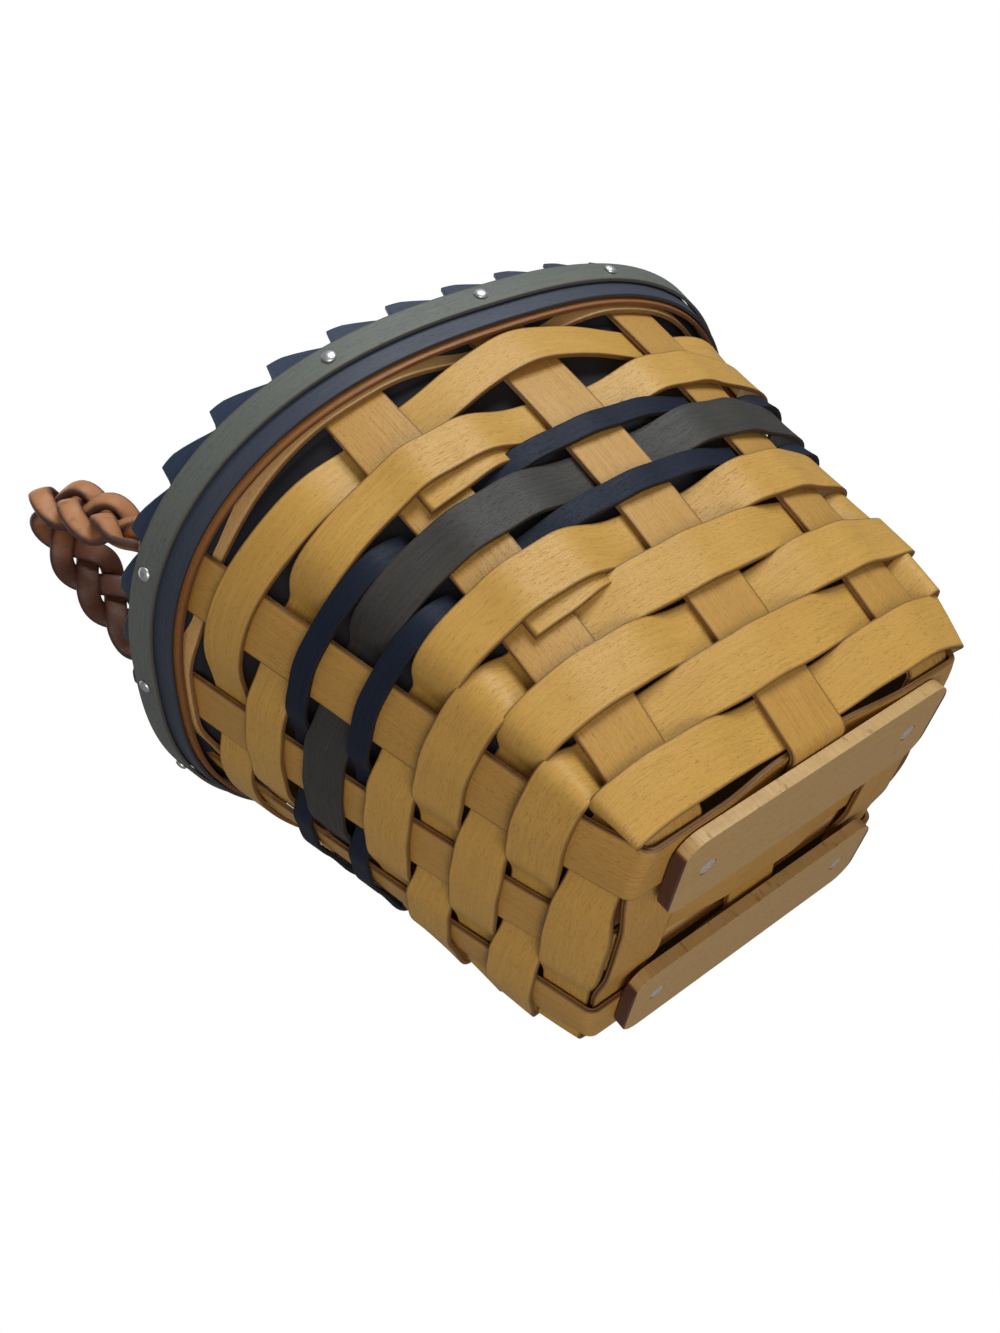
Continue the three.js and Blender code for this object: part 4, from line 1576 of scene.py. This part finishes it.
            rise = self.near(1 - part) * arches[0] + self.near(part) * arches[1]
            rise -= dip * hump + drop * (1 - part) ** self.lap_fade
            point = point + wall.normal(leave_angle + turn, height) * (proud * hump)
            points.append(self.slide(point, leave_angle + turn, height, rise))
        return points

    def past_leg(self, span: Span) -> Rail:
        """Points in front of or behind the leg after a gap.

        Args:
            span: The row's way there.

        Returns:
            Its points between the leg's edges.
        """
        wall = self.wall
        row, leg, height, side = span.row, span.leg, span.height, span.side
        first, second, _ = self.leg_edges(leg + 1, height)
        middle = wall.leg_angle(leg + 1, height)
        last = span.step == len(LEGS)
        starts = span.held and span.step == 0
        start = wall.walk(middle, height, self.butt_gap) if starts else first
        end = wall.walk(middle, height, -self.butt_gap) if last else second
        before = self.deeper(row, leg, side)[1]
        after = self.deeper(row, leg + 1, -side)[0]
        rise = self.arch(row, leg + 1)
        crown = 0.0
        if not span.held:
            crown = self.bulge * wall.distance(wall.leg_angle(leg, height), middle, height)
            crown += self.top_stand if rise else 0.0
        points = []
        for at in range(1, self.leg_steps + int(last)):
            angle = lerp(start, end, at / self.leg_steps)
            part = (angle - first) / (second - first)
            hump = math.sin(math.pi * part) ** 2
            inside = before * max(1 - 2 * part, 0.0) ** self.tuck_fade
            inside += after * max(2 * part - 1, 0.0) ** self.tuck_fade
            inside += lerp(span.settle, span.arrive_tuck, smooth(0.0, 0.5, part))
            offset = -side * wall.weave_swing - inside - side * crown * hump
            up = rise * lerp(self.arch_foot, 1.0, hump)
            points.append(self.slide(wall.point(angle, height, offset), angle, height, up))
        return points

    def tucks(self, step: int, lapped: bool) -> Pair:
        """How much deeper than usual a row leaves one leg and reaches the next, for its lap.

        Args:
            step: Number of the gap from the row's start.
            lapped: Whether it laps in front of a leg instead of behind one.

        Returns:
            Depth where it leaves and where it arrives, less than 0 outwards.
        """
        last = len(LEGS)
        if lapped:
            leave = {1: self.lap_step, last: -self.lap_step}
            arrive = {0: self.lap_step, last - 1: -self.lap_step}
        else:
            leave = {0: self.lap_step, 1: self.lap_step}
            arrive = {0: self.lap_step}
        return leave.get(step, 0.0), arrive.get(step, 0.0)

    def lap_start(self, leg: int, height: float, end: float) -> Rail:
        """Cut start of a row on the face of a leg, a little lower than the rest.

        Args:
            leg: Number of the leg.
            height: Height of the rail.
            end: Angle of the leg's second edge.

        Returns:
            Its points.
        """
        wall = self.wall
        start = wall.walk(wall.leg_angle(leg, height), height, -self.lap_reach)
        points = []
        for at in range(self.lap_steps):
            angle = lerp(start, end, at / self.lap_steps)
            point = wall.point(angle, height, wall.weave_swing)
            points.append(self.slide(point, angle, height, -self.lap_drop))
        return points

    def lowered(
        self, rail: Sequence[Vector], height: float, drop: float, fade: int, ends: float = 0.0
    ) -> Rail:
        """Lower edge of a row, let down where it covers a leg and curled under at the ends.

        Args:
            rail: Points of the edge.
            height: Its height.
            drop: How far it is let down.
            fade: How widely that fades out.
            ends: How much more it is let down, and curled under, at the basket's ends.

        Returns:
            The new points.
        """
        wall = self.wall
        angles = [math.atan2(point.y, point.x) for point in rail]
        outs = [wall.normal(angle, height) for angle in angles]
        shares = []
        for point, angle, out in zip(rail, angles, outs):
            proud = (point - wall.point(angle, height)).dot(out)
            shares.append(Vector((smooth(0.0, 1.0, proud / wall.weave_swing), 0.0, 0.0)))
        moved = []
        for point, angle, out, share in zip(rail, angles, outs, eased(shares, fade)):
            end = ends * out.x**self.end_focus
            fall = share.x * drop * (1 + end)
            curl = out * (self.end_curl * end * fall)
            moved.append(self.slide(point, angle, height, -fall) - curl)
        return moved

    @staticmethod
    def turns(leg: int) -> bool:
        """Whether the gap after a leg goes round a corner."""
        count = len(LEGS)
        return LEGS[leg % count].side is not LEGS[(leg + 1) % count].side

    def deeper(self, row: int, leg: int, side: int) -> Pair:
        """Extra depth inside the wall at both ends of the gap after a leg.

        Args:
            row: Number of the row from the base.
            leg: Number of the leg.
            side: 1 where the row covers that leg and -1 where it goes behind.

        Returns:
            Depth where it leaves the leg and where it reaches the next.
        """
        if row > self.top_row or not self.turns(leg):
            return 0.0, 0.0
        return (self.corner_tuck, 0.0) if side < 0 else (0.0, self.corner_tuck)

    @staticmethod
    def curve(marks: Sequence[Vector], pull: Sequence[float], share: float) -> Vector:
        """Point of an even curve.

        Args:
            marks: Its start, the two points that it is drawn towards, and its end.
            pull: How strongly it is drawn towards each of the two.
            share: Place along the curve, from 0 to 1.

        Returns:
            The point.
        """
        rest = 1 - share
        near = 3 * rest * rest * share * pull[0]
        far = 3 * rest * share * share * pull[1]
        weights = (rest**3, near, far, share**3)
        whole = sum((at * weight for at, weight in zip(marks, weights)), Vector())
        return whole / sum(weights)

    def stations(self, row: int, seed: float) -> list[Station]:
        """Cuts of one weaver.

        Args:
            row: Number of the row from the base.
            seed: Number that sets it apart.

        Returns:
            The cuts.
        """
        low = self.bottoms()[row]
        high = low + self.widths()[row] * self.lean_rise
        stand = self.corner_stand if 0 < row < self.top_row else 0.0
        levels = ((low, stand), ((low + high) / 2, stand * self.middle_stand), (high, 0.0))
        rails = [self.rail(row, height, proud) for height, proud in levels]
        if row == 0:
            drops = (self.first_drop, self.first_fade, self.end_drop)
            rails[0] = self.lowered(rails[0], low, *drops)
        elif row < self.fuller_rows:
            rails[0] = self.lowered(rails[0], low, self.fuller, self.fuller_fade)
        passes = self.top_easing if row == self.top_row else self.easing

        def uneven(at: int) -> Triple:
            """Shifts of both edges and thickness at a cut."""
            thick = self.wall.weaver_thickness * (self.thinness + self.thickness.at(at, seed))
            return self.low_edge.at(at, seed), self.high_edge.at(at, seed), thick

        return cuts_between([eased(rail, passes) for rail in rails], uneven)


@dataclass(frozen=True)
class Band:
    """A ring round the wall: its node, its sizes in millimetres and its finish."""

    node: str
    bottom: float
    width: float
    offset: float
    thickness: float
    finish: SplintFinish


@dataclass
class Rim:
    """Hoops, coloured bands, scalloped trim and tacks round the top."""

    wall: Wall
    weavers: Weavers
    maker: Maker
    hoop_width: float = 11.1
    hoop_thickness: float = 0.9
    hoop_overlap: float = 5.4
    band_thickness: float = 0.8
    band_gap: float = 0.25
    blue_width: float = 9.5
    blue_step: float = 1.1
    green_width: float = 6.35
    green_step: float = 4.0
    inner_width: float = 11.5
    inner_thickness: float = 1.0
    band_edge: float = 0.36
    band_waver: float = 0.15
    waver_scale: float = 3.0
    waver_apart: float = 5.0
    band_thinning: float = 0.95
    trim_thickness: float = 0.8
    trim_above: float = 7.2
    trim_lift: float = 0.4
    trim_tuck: float = 0.1
    trim_edge: float = 0.03
    trim_seed: float = 97.0
    trim_marks: int = 720
    tooth_count: int = 34
    tooth_phase: float = 0.35
    tooth_height: float = 3.9
    tooth: tuple[Pair, ...] = (
        (0.0, 0.0), (0.06, 0.0), (0.14, 0.02), (0.25, 0.08), (0.4, 0.28), (0.6, 0.58),
        (0.78, 0.86), (0.86, 0.97), (0.9, 1.0), (0.93, 0.8), (0.965, 0.4),
    )
    tack_radius: float = 1.4
    tack_height: float = 0.8
    tack_shank: float = 0.5
    tack_length: float = 2.0
    tack_inset: float = 1.5
    tack_gap: float = 0.05
    steps: int = 300
    seeds: Seeds = Seeds(71.0, 6.1)

    def __post_init__(self) -> None:
        """Works out the levels and offsets of the bands."""
        rise = self.weavers.lean_rise
        top = self.weavers.top()
        gap = self.wall.splint_gap
        face = self.wall.weave_swing + self.wall.weaver_thickness / 2
        self.hoop_bottom = top - self.hoop_overlap
        self.hoop_offset = face + gap + self.hoop_thickness / 2
        self.blue_bottom = self.hoop_bottom + self.blue_step
        halves = (self.hoop_thickness + self.band_thickness) / 2
        self.blue_offset = self.hoop_offset + halves + self.band_gap
        self.green_bottom = self.blue_bottom + self.green_step
        self.green_offset = self.blue_offset + self.band_thickness + self.band_gap
        self.green_middle = self.green_bottom + self.green_width * rise / 2
        self.band_top = self.green_bottom + self.green_width * rise
        self.inner_offset = -(face + gap + self.inner_thickness / 2)
        self.inner_bottom = self.band_top - self.inner_width * rise
        self.trim_bottom = top + gap + self.trim_lift
        self.trim_top = self.band_top + self.trim_above
        hoop_back = self.hoop_offset - self.hoop_thickness / 2
        self.trim_offset = (self.wall.stake_thickness / 2 + hoop_back) / 2 - self.trim_tuck

    def bands(self) -> tuple[Band, ...]:
        """The four plain rings.

        Returns:
            Outer hoop, blue band, green band and inner hoop.
        """
        finishes = self.maker.finishes
        thin = self.band_thickness
        hoop = (self.hoop_bottom, self.hoop_width, self.hoop_offset, self.hoop_thickness)
        blue = (self.blue_bottom, self.blue_width, self.blue_offset, thin)
        green = (self.green_bottom, self.green_width, self.green_offset, thin)
        inner = (self.inner_bottom, self.inner_width, self.inner_offset, self.inner_thickness)
        return (
            Band("rim_hoop_outer", *hoop, finishes.brown),
            Band("rim_band_blue", *blue, finishes.blue),
            Band("rim_band_green", *green, finishes.green),
            Band("rim_hoop_inner", *inner, finishes.natural),
        )

    def build(self) -> None:
        """Builds and dresses the rim's pieces."""
        for number, band in enumerate(self.bands()):
            seed = self.seeds.of(number)
            profile = splint_profile(self.band_edge / band.width)
            piece = swept(f"{band.node}_splint", self.ring(band, seed), profile, seed, closed=True)
            self.maker.dress(piece, band.finish, band.node)
        profile = splint_profile(self.trim_edge)
        trim = swept("rim_trim_splint", self.trim(), profile, self.trim_seed, closed=True)
        self.maker.dress(trim, self.maker.finishes.trim, "rim_trim_scalloped")
        for leg in range(len(LEGS)):
            self.tack(leg)

    def ring(self, band: Band, seed: float) -> list[Station]:
        """Cuts of a ring band.

        Args:
            band: The band.
            seed: Number that sets it apart.

        Returns:
            The cuts.
        """
        top = band.bottom + band.width * self.weavers.lean_rise
        angles = [FULL_TURN * step / self.steps for step in range(self.steps)]
        heights = (band.bottom, (band.bottom + top) / 2, top)
        point = self.wall.point
        rails = [[point(angle, height, band.offset) for angle in angles] for height in heights]

        def uneven(at: int) -> Triple:
            """Unevenness of one cut.

            Args:
                at: Number of the cut.

            Returns:
                Shifts of both edges, and the thickness.
            """
            x = self.waver_scale * math.cos(angles[at])
            y = self.waver_scale * math.sin(angles[at])
            layers = (seed, seed + self.waver_apart)
            shifts = [self.band_waver * waver(x, y, layer) for layer in layers]
            return *shifts, band.thickness * self.band_thinning

        return cuts_between(rails, uneven, closed=True)

    def trim(self) -> list[Station]:
        """Cuts of the scalloped trim strip, with a gentle fall and a steep rise at each tooth.

        Returns:
            The cuts.
        """
        wall = self.wall
        marks = [FULL_TURN * step / self.trim_marks for step in range(self.trim_marks + 1)]
        lengths = lengths_along([wall.point(angle, self.band_top) for angle in marks])
        pitch = lengths[-1] / self.tooth_count
        lefts, rights = [], []
        for number in range(self.tooth_count):
            for along, fall in self.tooth:
                distance = (number + along + self.tooth_phase) * pitch % lengths[-1]
                after, share = mark(lengths, distance)
                angle = lerp(marks[after - 1], marks[after], share)
                top = self.trim_top - fall * self.tooth_height
                lefts.append(wall.point(angle, self.trim_bottom, self.trim_offset))
                rights.append(wall.point(angle, top, self.trim_offset))
        middles = [(left + right) / 2 for left, right in zip(lefts, rights)]
        even = (0.0, 0.0, self.trim_thickness)
        return cuts_between((lefts, middles, rights), lambda at: even, closed=True)

    def tack(self, leg: int) -> None:
        """Builds one tack through the bands into a leg.

        Args:
            leg: Number of the leg.
        """
        forward = LEGS[leg].side in (Side.FRONT, Side.RIGHT)
        inset = LEGS[leg].place * (-self.tack_inset if forward else self.tack_inset)
        height = self.green_middle
        angle = self.wall.walk(self.wall.leg_angle(leg, height), height, inset)
        out = self.green_offset + self.band_thickness / 2 + self.tack_gap
        name = f"rim_tack_{leg + 1:02d}"
        sizes = (self.tack_radius, self.tack_height, self.tack_shank, self.tack_length)
        head = Fastener(*sizes).piece(f"{name}_head", self.wall.place(angle, height, out))
        self.maker.dress(head, self.maker.finishes.steel, name)


@dataclass
class Runners:
    """Two slats nailed under the base."""

    maker: Maker
    nodes: dict[str, Piece]
    spacing: float = 43.4
    nail_spacing: float = 51.6
    nail_level: float = 1.0
    nail: Fastener = Fastener(1.85, 0.92, 0.8, 1.4, domed=False)
    easing: float = 0.45
    easing_steps: int = 3
    easing_angle: float = math.radians(40)
    weld: float = 1e-6

    def build(self) -> None:
        """Dresses the slats and builds their nails."""
        finishes = self.maker.finishes
        for side, sign in (("front", -1), ("back", 1)):
            slat = self.nodes[f"runner_{side}"]
            slat.data.materials.clear()
            slat.data.materials.append(finishes.of(finishes.runner))
            weld = slat.modifiers.new("weld", "WELD")
            weld.merge_threshold = self.weld
            easing = slat.modifiers.new("eased_edges", "BEVEL")
            easing.width = self.easing * MM
            easing.segments = self.easing_steps
            easing.limit_method = "ANGLE"
            easing.angle_limit = self.easing_angle
            log.info("runner_%s: eased edges", side)
            for end, sense in (("left", -1), ("right", 1)):
                place = Matrix.Rotation(math.pi, 4, "X")
                x, y = sense * self.nail_spacing / 2, sign * self.spacing / 2
                place.translation = Vector((x, y, self.nail_level))
                name = f"runner_nail_{side}_{end}"
                nail = self.nail.piece(f"{name}_head", place)
                self.maker.dress(nail, finishes.zinc, name)


@dataclass
class Hangers:
    """Two braided leather loops, each held by two riveted tabs inside the rim."""

    wall: Wall
    rim: Rim
    maker: Maker
    height: float = 44.0
    spread: float = 40.0
    square_share: float = 0.3
    sway: float = -11.0
    lean: float = 7.0
    lean_start: float = 14.0
    strand_width: float = 4.9
    strand_thickness: float = 2.3
    strand_points: int = 20
    strand_crown: float = 0.5
    foot_width: float = 0.74
    foot_thickness: float = 0.3
    foot_end: float = 1.0
    reach: float = 4.3
    depth: float = 2.35
    turns: float = 3.0
    strands: int = 3
    lead: float = 8.0
    twist: float = 20.0
    tab_width: float = 11.2
    tab_height: float = 11.0
    tab_thickness: float = 2.2
    tab_gap: float = 0.75
    tab_corner: float = 2.0
    tab_corner_steps: int = 6
    tab_edge: float = 0.5
    tab_edge_steps: int = 3
    tab_edge_shade_reach: float = 0.6
    tab_seed: float = 131.0
    foot_gap: float = 0.95
    rivet_radius: float = 2.2
    rivet_shank: float = 0.5
    rivet_reach: float = 1.5
    rivet_gap: float = 0.05
    marks: int = 600
    steps: int = 150
    seeds: Seeds = Seeds(110.0, 3.3)

    def build(self) -> None:
        """Builds and dresses both hangers."""
        leather = self.maker.finishes.leather
        profile = round_profile(self.strand_points, self.strand_crown)
        for name, end, body in (("left", -1, Body.LEFT_HANGER), ("right", 1, Body.RIGHT_HANGER)):
            for number in range(self.strands):
                node = f"hanger_{name}_strand_{number + 1}"
                seed = self.seeds.of(number) + end
                piece = swept(f"{node}_leather", self.strand(end, number), profile, seed)
                self.maker.dress(piece, leather, node, body)
            for foot, y in (("front", -self.spread / 2), ("back", self.spread / 2)):
                self.tab(f"hanger_{name}_tab_{foot}", self.seat(end, y))
                self.rivet(f"hanger_{name}_rivet_{foot}", self.seat(end, y))

    def seat(self, end: int, y: float) -> Matrix:
        """Place of a tab on the inside of the rim.

        Args:
            end: -1 for the left end and 1 for the right.
            y: Place along the end.

        Returns:
            Its matrix, with columns round the wall, up it and out of it.
        """
        rim = self.rim
        middle = rim.inner_bottom + rim.inner_width * rim.weavers.lean_rise / 2
        offset = rim.inner_offset - rim.inner_thickness / 2 - self.tab_gap - self.tab_thickness / 2
        length, width, power = self.wall.outline(middle)
        x = end * oval(length, y / width, power)
        return self.wall.place(math.atan2(y, x), middle, offset)

    def line(self, end: int) -> Rail:
        """Middle line of a loop, evenly stepped.

        Args:
            end: -1 for the left end and 1 for the right.

        Returns:
            Its points from the front foot to the back foot.
        """
        seat = self.seat(end, self.spread / 2)
        foot = seat.translation + seat.col[1].to_3d() * (self.tab_height / 2 + self.foot_gap)
        points = []
        for step in range(self.marks + 1):
            turn = math.pi * step / self.marks
            rise = math.sin(turn)
            spread = lerp(math.cos(turn), math.cos(turn) ** 3, self.square_share)
            lean = self.lean * smooth(self.lean_start, self.height, rise * self.height)
            y = -foot.y * spread + self.sway * rise**2
            points.append(Vector((foot.x + end * lean, y, foot.z + self.height * rise)))
        lengths = lengths_along(points)
        even = []
        for step in range(self.steps + 1):
            after, share = mark(lengths, lengths[-1] * step / self.steps)
            even.append(points[after - 1].lerp(points[after], share))
        return even

    def strand(self, end: int, number: int) -> list[Station]:
        """Cuts of one strand of the plait.

        Args:
            end: -1 for the left end and 1 for the right.
            number: Which of the three strands.

        Returns:
            The cuts.
        """
        line = self.line(end)
        step_length = (line[1] - line[0]).length
        total = step_length * self.steps
        middles, faces, settled = [], [], []
        for step, centre in enumerate(line):
            along = step * step_length
            from_foot = min(along, total - along)
            run = (line[min(step + 1, self.steps)] - line[max(step - 1, 0)]).normalized()
            twist = smooth(self.lead, self.lead + self.twist, from_foot) * math.pi / 2
            across = Vector((math.sin(twist), math.cos(twist), 0.0))
            across = (across - run * across.dot(run)).normalized()
            face = run.cross(across).normalized()
            plaited = min(max((along - self.lead) / (total - 2 * self.lead), 0.0), 1.0)
            phase = FULL_TURN * (self.turns * plaited + number / self.strands)
            settle = smooth(self.foot_end, self.lead, from_foot)
            deep = self.depth * math.sin(2 * phase) * settle
            middles.append(centre + across * (self.reach * math.sin(phase)) + face * deep)
            faces.append(face)
            settled.append(settle)
        stations = []
        for at, (middle, face, settle) in enumerate(zip(middles, faces, settled)):
            run = (middles[min(at + 1, self.steps)] - middles[max(at - 1, 0)]).normalized()
            flat = run.cross(face).normalized()
            half = flat * (self.strand_width * lerp(self.foot_width, 1.0, settle) / 2)
            thick = self.strand_thickness * lerp(self.foot_thickness, 1.0, settle)
            out = flat.cross(run).normalized()
            stations.append(Station(middle - half, middle, middle + half, out, thick))
        return stations

    def tab(self, node: str, seat: Matrix) -> None:
        """Builds one leather tab with rounded lower corners.

        Args:
            node: The solid that it stands for.
            seat: Its place.
        """
        mesh = bmesh.new()
        bmesh.ops.create_cube(mesh, size=1.0)
        size = Matrix.Diagonal((self.tab_width, self.tab_height, self.tab_thickness, 1.0))
        bmesh.ops.transform(mesh, matrix=size, verts=mesh.verts)
        through = [edge for edge in mesh.edges if runs_through(edge)]
        low = [edge for edge in through if all(vert.co.y < 0 for vert in edge.verts)]
        self.ease(mesh, low, self.tab_corner, self.tab_corner_steps)
        outer = [edge for edge in mesh.edges if not runs_through(edge)]
        self.ease(mesh, outer, self.tab_edge, self.tab_edge_steps)
        lay = mesh.verts.layers.float_vector.new("lay")
        wear_and_shade = mesh.verts.layers.float.new("edge")
        for vert in mesh.verts:
            # Painted shade on the leather grows towards the tab's side edges.
            inside = (self.tab_width / 2 - abs(vert.co.x)) / self.tab_edge_shade_reach
            vert[lay] = Vector((vert.co.y, vert.co.x, self.tab_seed))
            vert[wear_and_shade] = 1.0 - smooth(0.0, 1.0, inside)
        bmesh.ops.recalc_face_normals(mesh, faces=mesh.faces)
        bmesh.ops.transform(mesh, matrix=Matrix.Scale(MM, 4) @ seat, verts=mesh.verts)
        piece = finished(f"{node}_leather", mesh)
        self.maker.dress(piece, self.maker.finishes.leather, node)

    @staticmethod
    def ease(
        mesh: bmesh.types.BMesh, edges: list[bmesh.types.BMEdge], width: float, steps: int
    ) -> None:
        """Rounds some edges of a mesh.

        Args:
            mesh: The mesh.
            edges: Its edges to round.
            width: Width of the rounding.
            steps: Number of faces across it.
        """
        bmesh.ops.bevel(
            mesh,
            geom=edges,
            offset=width,
            offset_type="OFFSET",
            segments=steps,
            profile=0.5,
            affect="EDGES",
            material=-1,
        )

    def rivet(self, node: str, seat: Matrix) -> None:
        """Builds one rivet through a tab.

        Args:
            node: The solid that it stands for.
            seat: The tab's place.
        """
        turn = seat @ Matrix.Rotation(math.pi, 4, "Y")
        place = turn @ Matrix.Translation((0, 0, self.tab_thickness / 2 + self.rivet_gap))
        length = self.tab_thickness + self.rivet_reach
        rivet = Fastener(self.rivet_radius, self.rim.tack_height, self.rivet_shank, length)
        head = rivet.piece(f"{node}_head", place)
        self.maker.dress(head, self.maker.finishes.steel, node)


def runs_through(edge: bmesh.types.BMEdge) -> bool:
    """Whether an edge of a tab runs through its thickness."""
    run = edge.verts[1].co - edge.verts[0].co
    return abs(run.z) > run.xy.length


# Stage


@dataclass(frozen=True)
class Lamp:
    """A soft light: its place in metres, width, power in watts, colour and glint on gloss."""

    name: str
    place: Triple
    size: float
    power: float
    tint: Colour = WHITE
    glints: bool = True


@dataclass
class Studio:
    """Pale floor, soft light, a dark sheet of painted shade seen through the weave's gaps, and the
    camera.
    """

    wall: Wall
    focal_px: float = 1130.6
    photo_height_px: float = 1333
    sensor_mm: float = 36
    nearest: float = 0.005
    place: Triple = (-0.12452, -0.17482, -0.05196)
    right: Triple = (0.79478, -0.08779, -0.60051)
    down: Triple = (-0.39428, 0.67754, -0.62088)
    ahead: Triple = (0.46138, 0.73023, 0.50388)
    aim: Triple = (0.0, 0.0, 0.06)
    world_light: float = 0.18
    floor_size: float = 6.0
    floor_cells: int = 8
    floor_roughness: float = 0.8
    floor_colour: Colour = (0.62, 0.62, 0.61)
    floor_glow: float = 1.1
    shade_colour: Colour = (0.010, 0.011, 0.016)
    shade_roughness: float = 0.9
    shade_inset: float = 3.1
    upper_inset: float = 1.9
    top_flare: float = 1.9
    upper_band: Pair = (83.0, 88.0)
    flare_band: Pair = (92.0, 94.5)
    shade_bottom: float = 2.9
    shade_above: float = 2.0
    shade_floor: float = 4.0
    shade_cells: tuple[int, int] = (144, 48)
    lamps: tuple[Lamp, ...] = (
        Lamp("key_light", (0.22, -0.76, 0.26), 0.40, 4.9, (0.97, 1.0, 0.99)),
        Lamp("fill_light", (-0.40, -0.34, -0.62), 0.6, 3.6, (1.0, 0.94, 0.93)),
        Lamp("top_light", (-0.10, 0.25, 0.75), 0.6, 1.4),
        Lamp("back_light", (0.45, 0.55, 0.25), 0.5, 1.4, glints=False),
    )

    def build(self) -> None:
        """Sets up the stage."""
        self.camera()
        self.world()
        self.floor()
        self.shade()
        for lamp in self.lamps:
            self.light(lamp)
        bpy.context.scene.view_settings.view_transform = "Standard"

    def camera(self) -> None:
        """Places the camera at the photograph's viewing angle."""
        data = bpy.data.cameras.new("camera")
        data.sensor_fit = "AUTO"
        data.sensor_width = self.sensor_mm
        data.lens = self.focal_px / self.photo_height_px * self.sensor_mm
        data.clip_start = self.nearest
        made = linked("camera", data)
        axes = (Vector(self.right), -Vector(self.down), -Vector(self.ahead))
        matrix = Matrix(axes).transposed().to_4x4()
        matrix.translation = Vector(self.place)
        made.matrix_world = matrix
        bpy.context.scene.camera = made

    def world(self) -> None:
        """Even pale surroundings: white to the eye, softer as light."""
        world = bpy.data.worlds.new("surroundings")
        bpy.context.scene.world = world
        world.use_nodes = True
        tree = world.node_tree
        ground = tree.nodes["Background"]
        bright = tree.nodes.new("ShaderNodeBackground")
        for node, strength in ((ground, self.world_light), (bright, 1.0)):
            node.inputs["Color"].default_value = (*WHITE, 1.0)
            node.inputs["Strength"].default_value = strength
        path = tree.nodes.new("ShaderNodeLightPath")
        mix = tree.nodes.new("ShaderNodeMixShader")
        tree.links.new(path.outputs["Is Camera Ray"], mix.inputs[0])
        tree.links.new(ground.outputs[0], mix.inputs[1])
        tree.links.new(bright.outputs[0], mix.inputs[2])
        tree.links.new(mix.outputs[0], tree.nodes["World Output"].inputs["Surface"])

    def light(self, lamp: Lamp) -> None:
        """Adds a soft light that faces the basket.

        Args:
            lamp: The light.
        """
        data = bpy.data.lights.new(lamp.name, "AREA")
        data.energy = lamp.power
        data.color = lamp.tint
        data.size = lamp.size
        made = linked(lamp.name, data)
        aim = Vector(self.aim) - Vector(lamp.place)
        matrix = aim.to_track_quat("-Z", "Y").to_matrix().to_4x4()
        matrix.translation = Vector(lamp.place)
        made.matrix_world = matrix
        made.visible_camera = False
        made.visible_glossy = lamp.glints

    @staticmethod
    def backdrop(
        name: str, mesh: bmesh.types.BMesh, material: str, colour: Colour, rough: float, glow: float
    ) -> None:
        """Makes a sheet of the stage, which shows on its front alone.

        Args:
            name: Name of the sheet.
            mesh: Its mesh.
            material: Name of its material.
            colour: Colour of the front.
            rough: Roughness of the front.
            glow: Its own light, which keeps it pale far from the lamps.
        """
        graph = Graph(material)
        graph.dress({"Base Color": colour, "Roughness": rough})
        graph.dress({"Emission Color": colour, "Emission Strength": glow})
        back = graph.value("ShaderNodeNewGeometry", {}, {}, "Backfacing")
        clear = graph.value("ShaderNodeBsdfTransparent", {}, {})
        front = Value(graph, graph.shader.outputs[0])
        shown = graph.value("ShaderNodeMixShader", {}, {0: back, 1: front, 2: clear})
        graph.feed(graph.surface, shown)
        made = finished(name, mesh)
        made.data.materials.append(graph.material)
        made.visible_shadow = False
        made.visible_diffuse = False
        made.visible_glossy = False

    def floor(self) -> None:
        """Pale floor that is open from below, where the camera looks up at the base."""
        mesh = bmesh.new()
        cells = self.floor_cells
        bmesh.ops.create_grid(mesh, x_segments=cells, y_segments=cells, size=self.floor_size)
        rough = self.floor_roughness
        self.backdrop("floor", mesh, "pale_floor", self.floor_colour, rough, self.floor_glow)

    def inset(self, height: float) -> float:
        """Depth of the dark sheet inside the wall, which meets the hoop at the rim."""
        upper = lerp(self.upper_inset, -self.top_flare, smooth(*self.flare_band, height))
        return lerp(self.shade_inset, upper, smooth(*self.upper_band, height))

    def shade(self) -> None:
        """Dark sheet behind the weave, open from inside, for the shade that its gaps show."""
        wall = self.wall
        mesh = bmesh.new()
        around, up = self.shade_cells
        bmesh.ops.create_grid(mesh, x_segments=around, y_segments=up, size=0.5)
        for vert in mesh.verts:
            angle = FULL_TURN * (vert.co.x + 0.5)
            top = wall.rim_level + self.shade_above
            height = lerp(self.shade_bottom, top, vert.co.y + 0.5)
            vert.co = wall.point(angle, height, -self.inset(height)) * MM
        bmesh.ops.remove_doubles(mesh, verts=mesh.verts, dist=WELD)
        level = (wall.base_level + self.shade_floor) * MM
        rims = [edge for edge in mesh.edges if edge.is_boundary]
        low = [edge for edge in rims if edge.verts[0].co.z < level]
        bmesh.ops.holes_fill(mesh, edges=low, sides=0)
        bmesh.ops.recalc_face_normals(mesh, faces=mesh.faces)
        rough = self.shade_roughness
        self.backdrop("shade_sheet", mesh, "shade", self.shade_colour, rough, glow=0.0)


def main() -> None:
    """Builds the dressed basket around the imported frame."""
    logging.basicConfig(level=logging.INFO, format="%(name)s: %(message)s")
    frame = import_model()
    maker = Maker(Finishes())
    wall = Wall()
    Studio(wall).build()
    Stakes(wall, maker).build()
    weavers = Weavers(wall, maker)
    weavers.build()
    rim = Rim(wall, weavers, maker)
    rim.build()
    Runners(maker, frame["nodes"]).build()
    Hangers(wall, rim, maker).build()


if __name__ == "__main__":
    main()
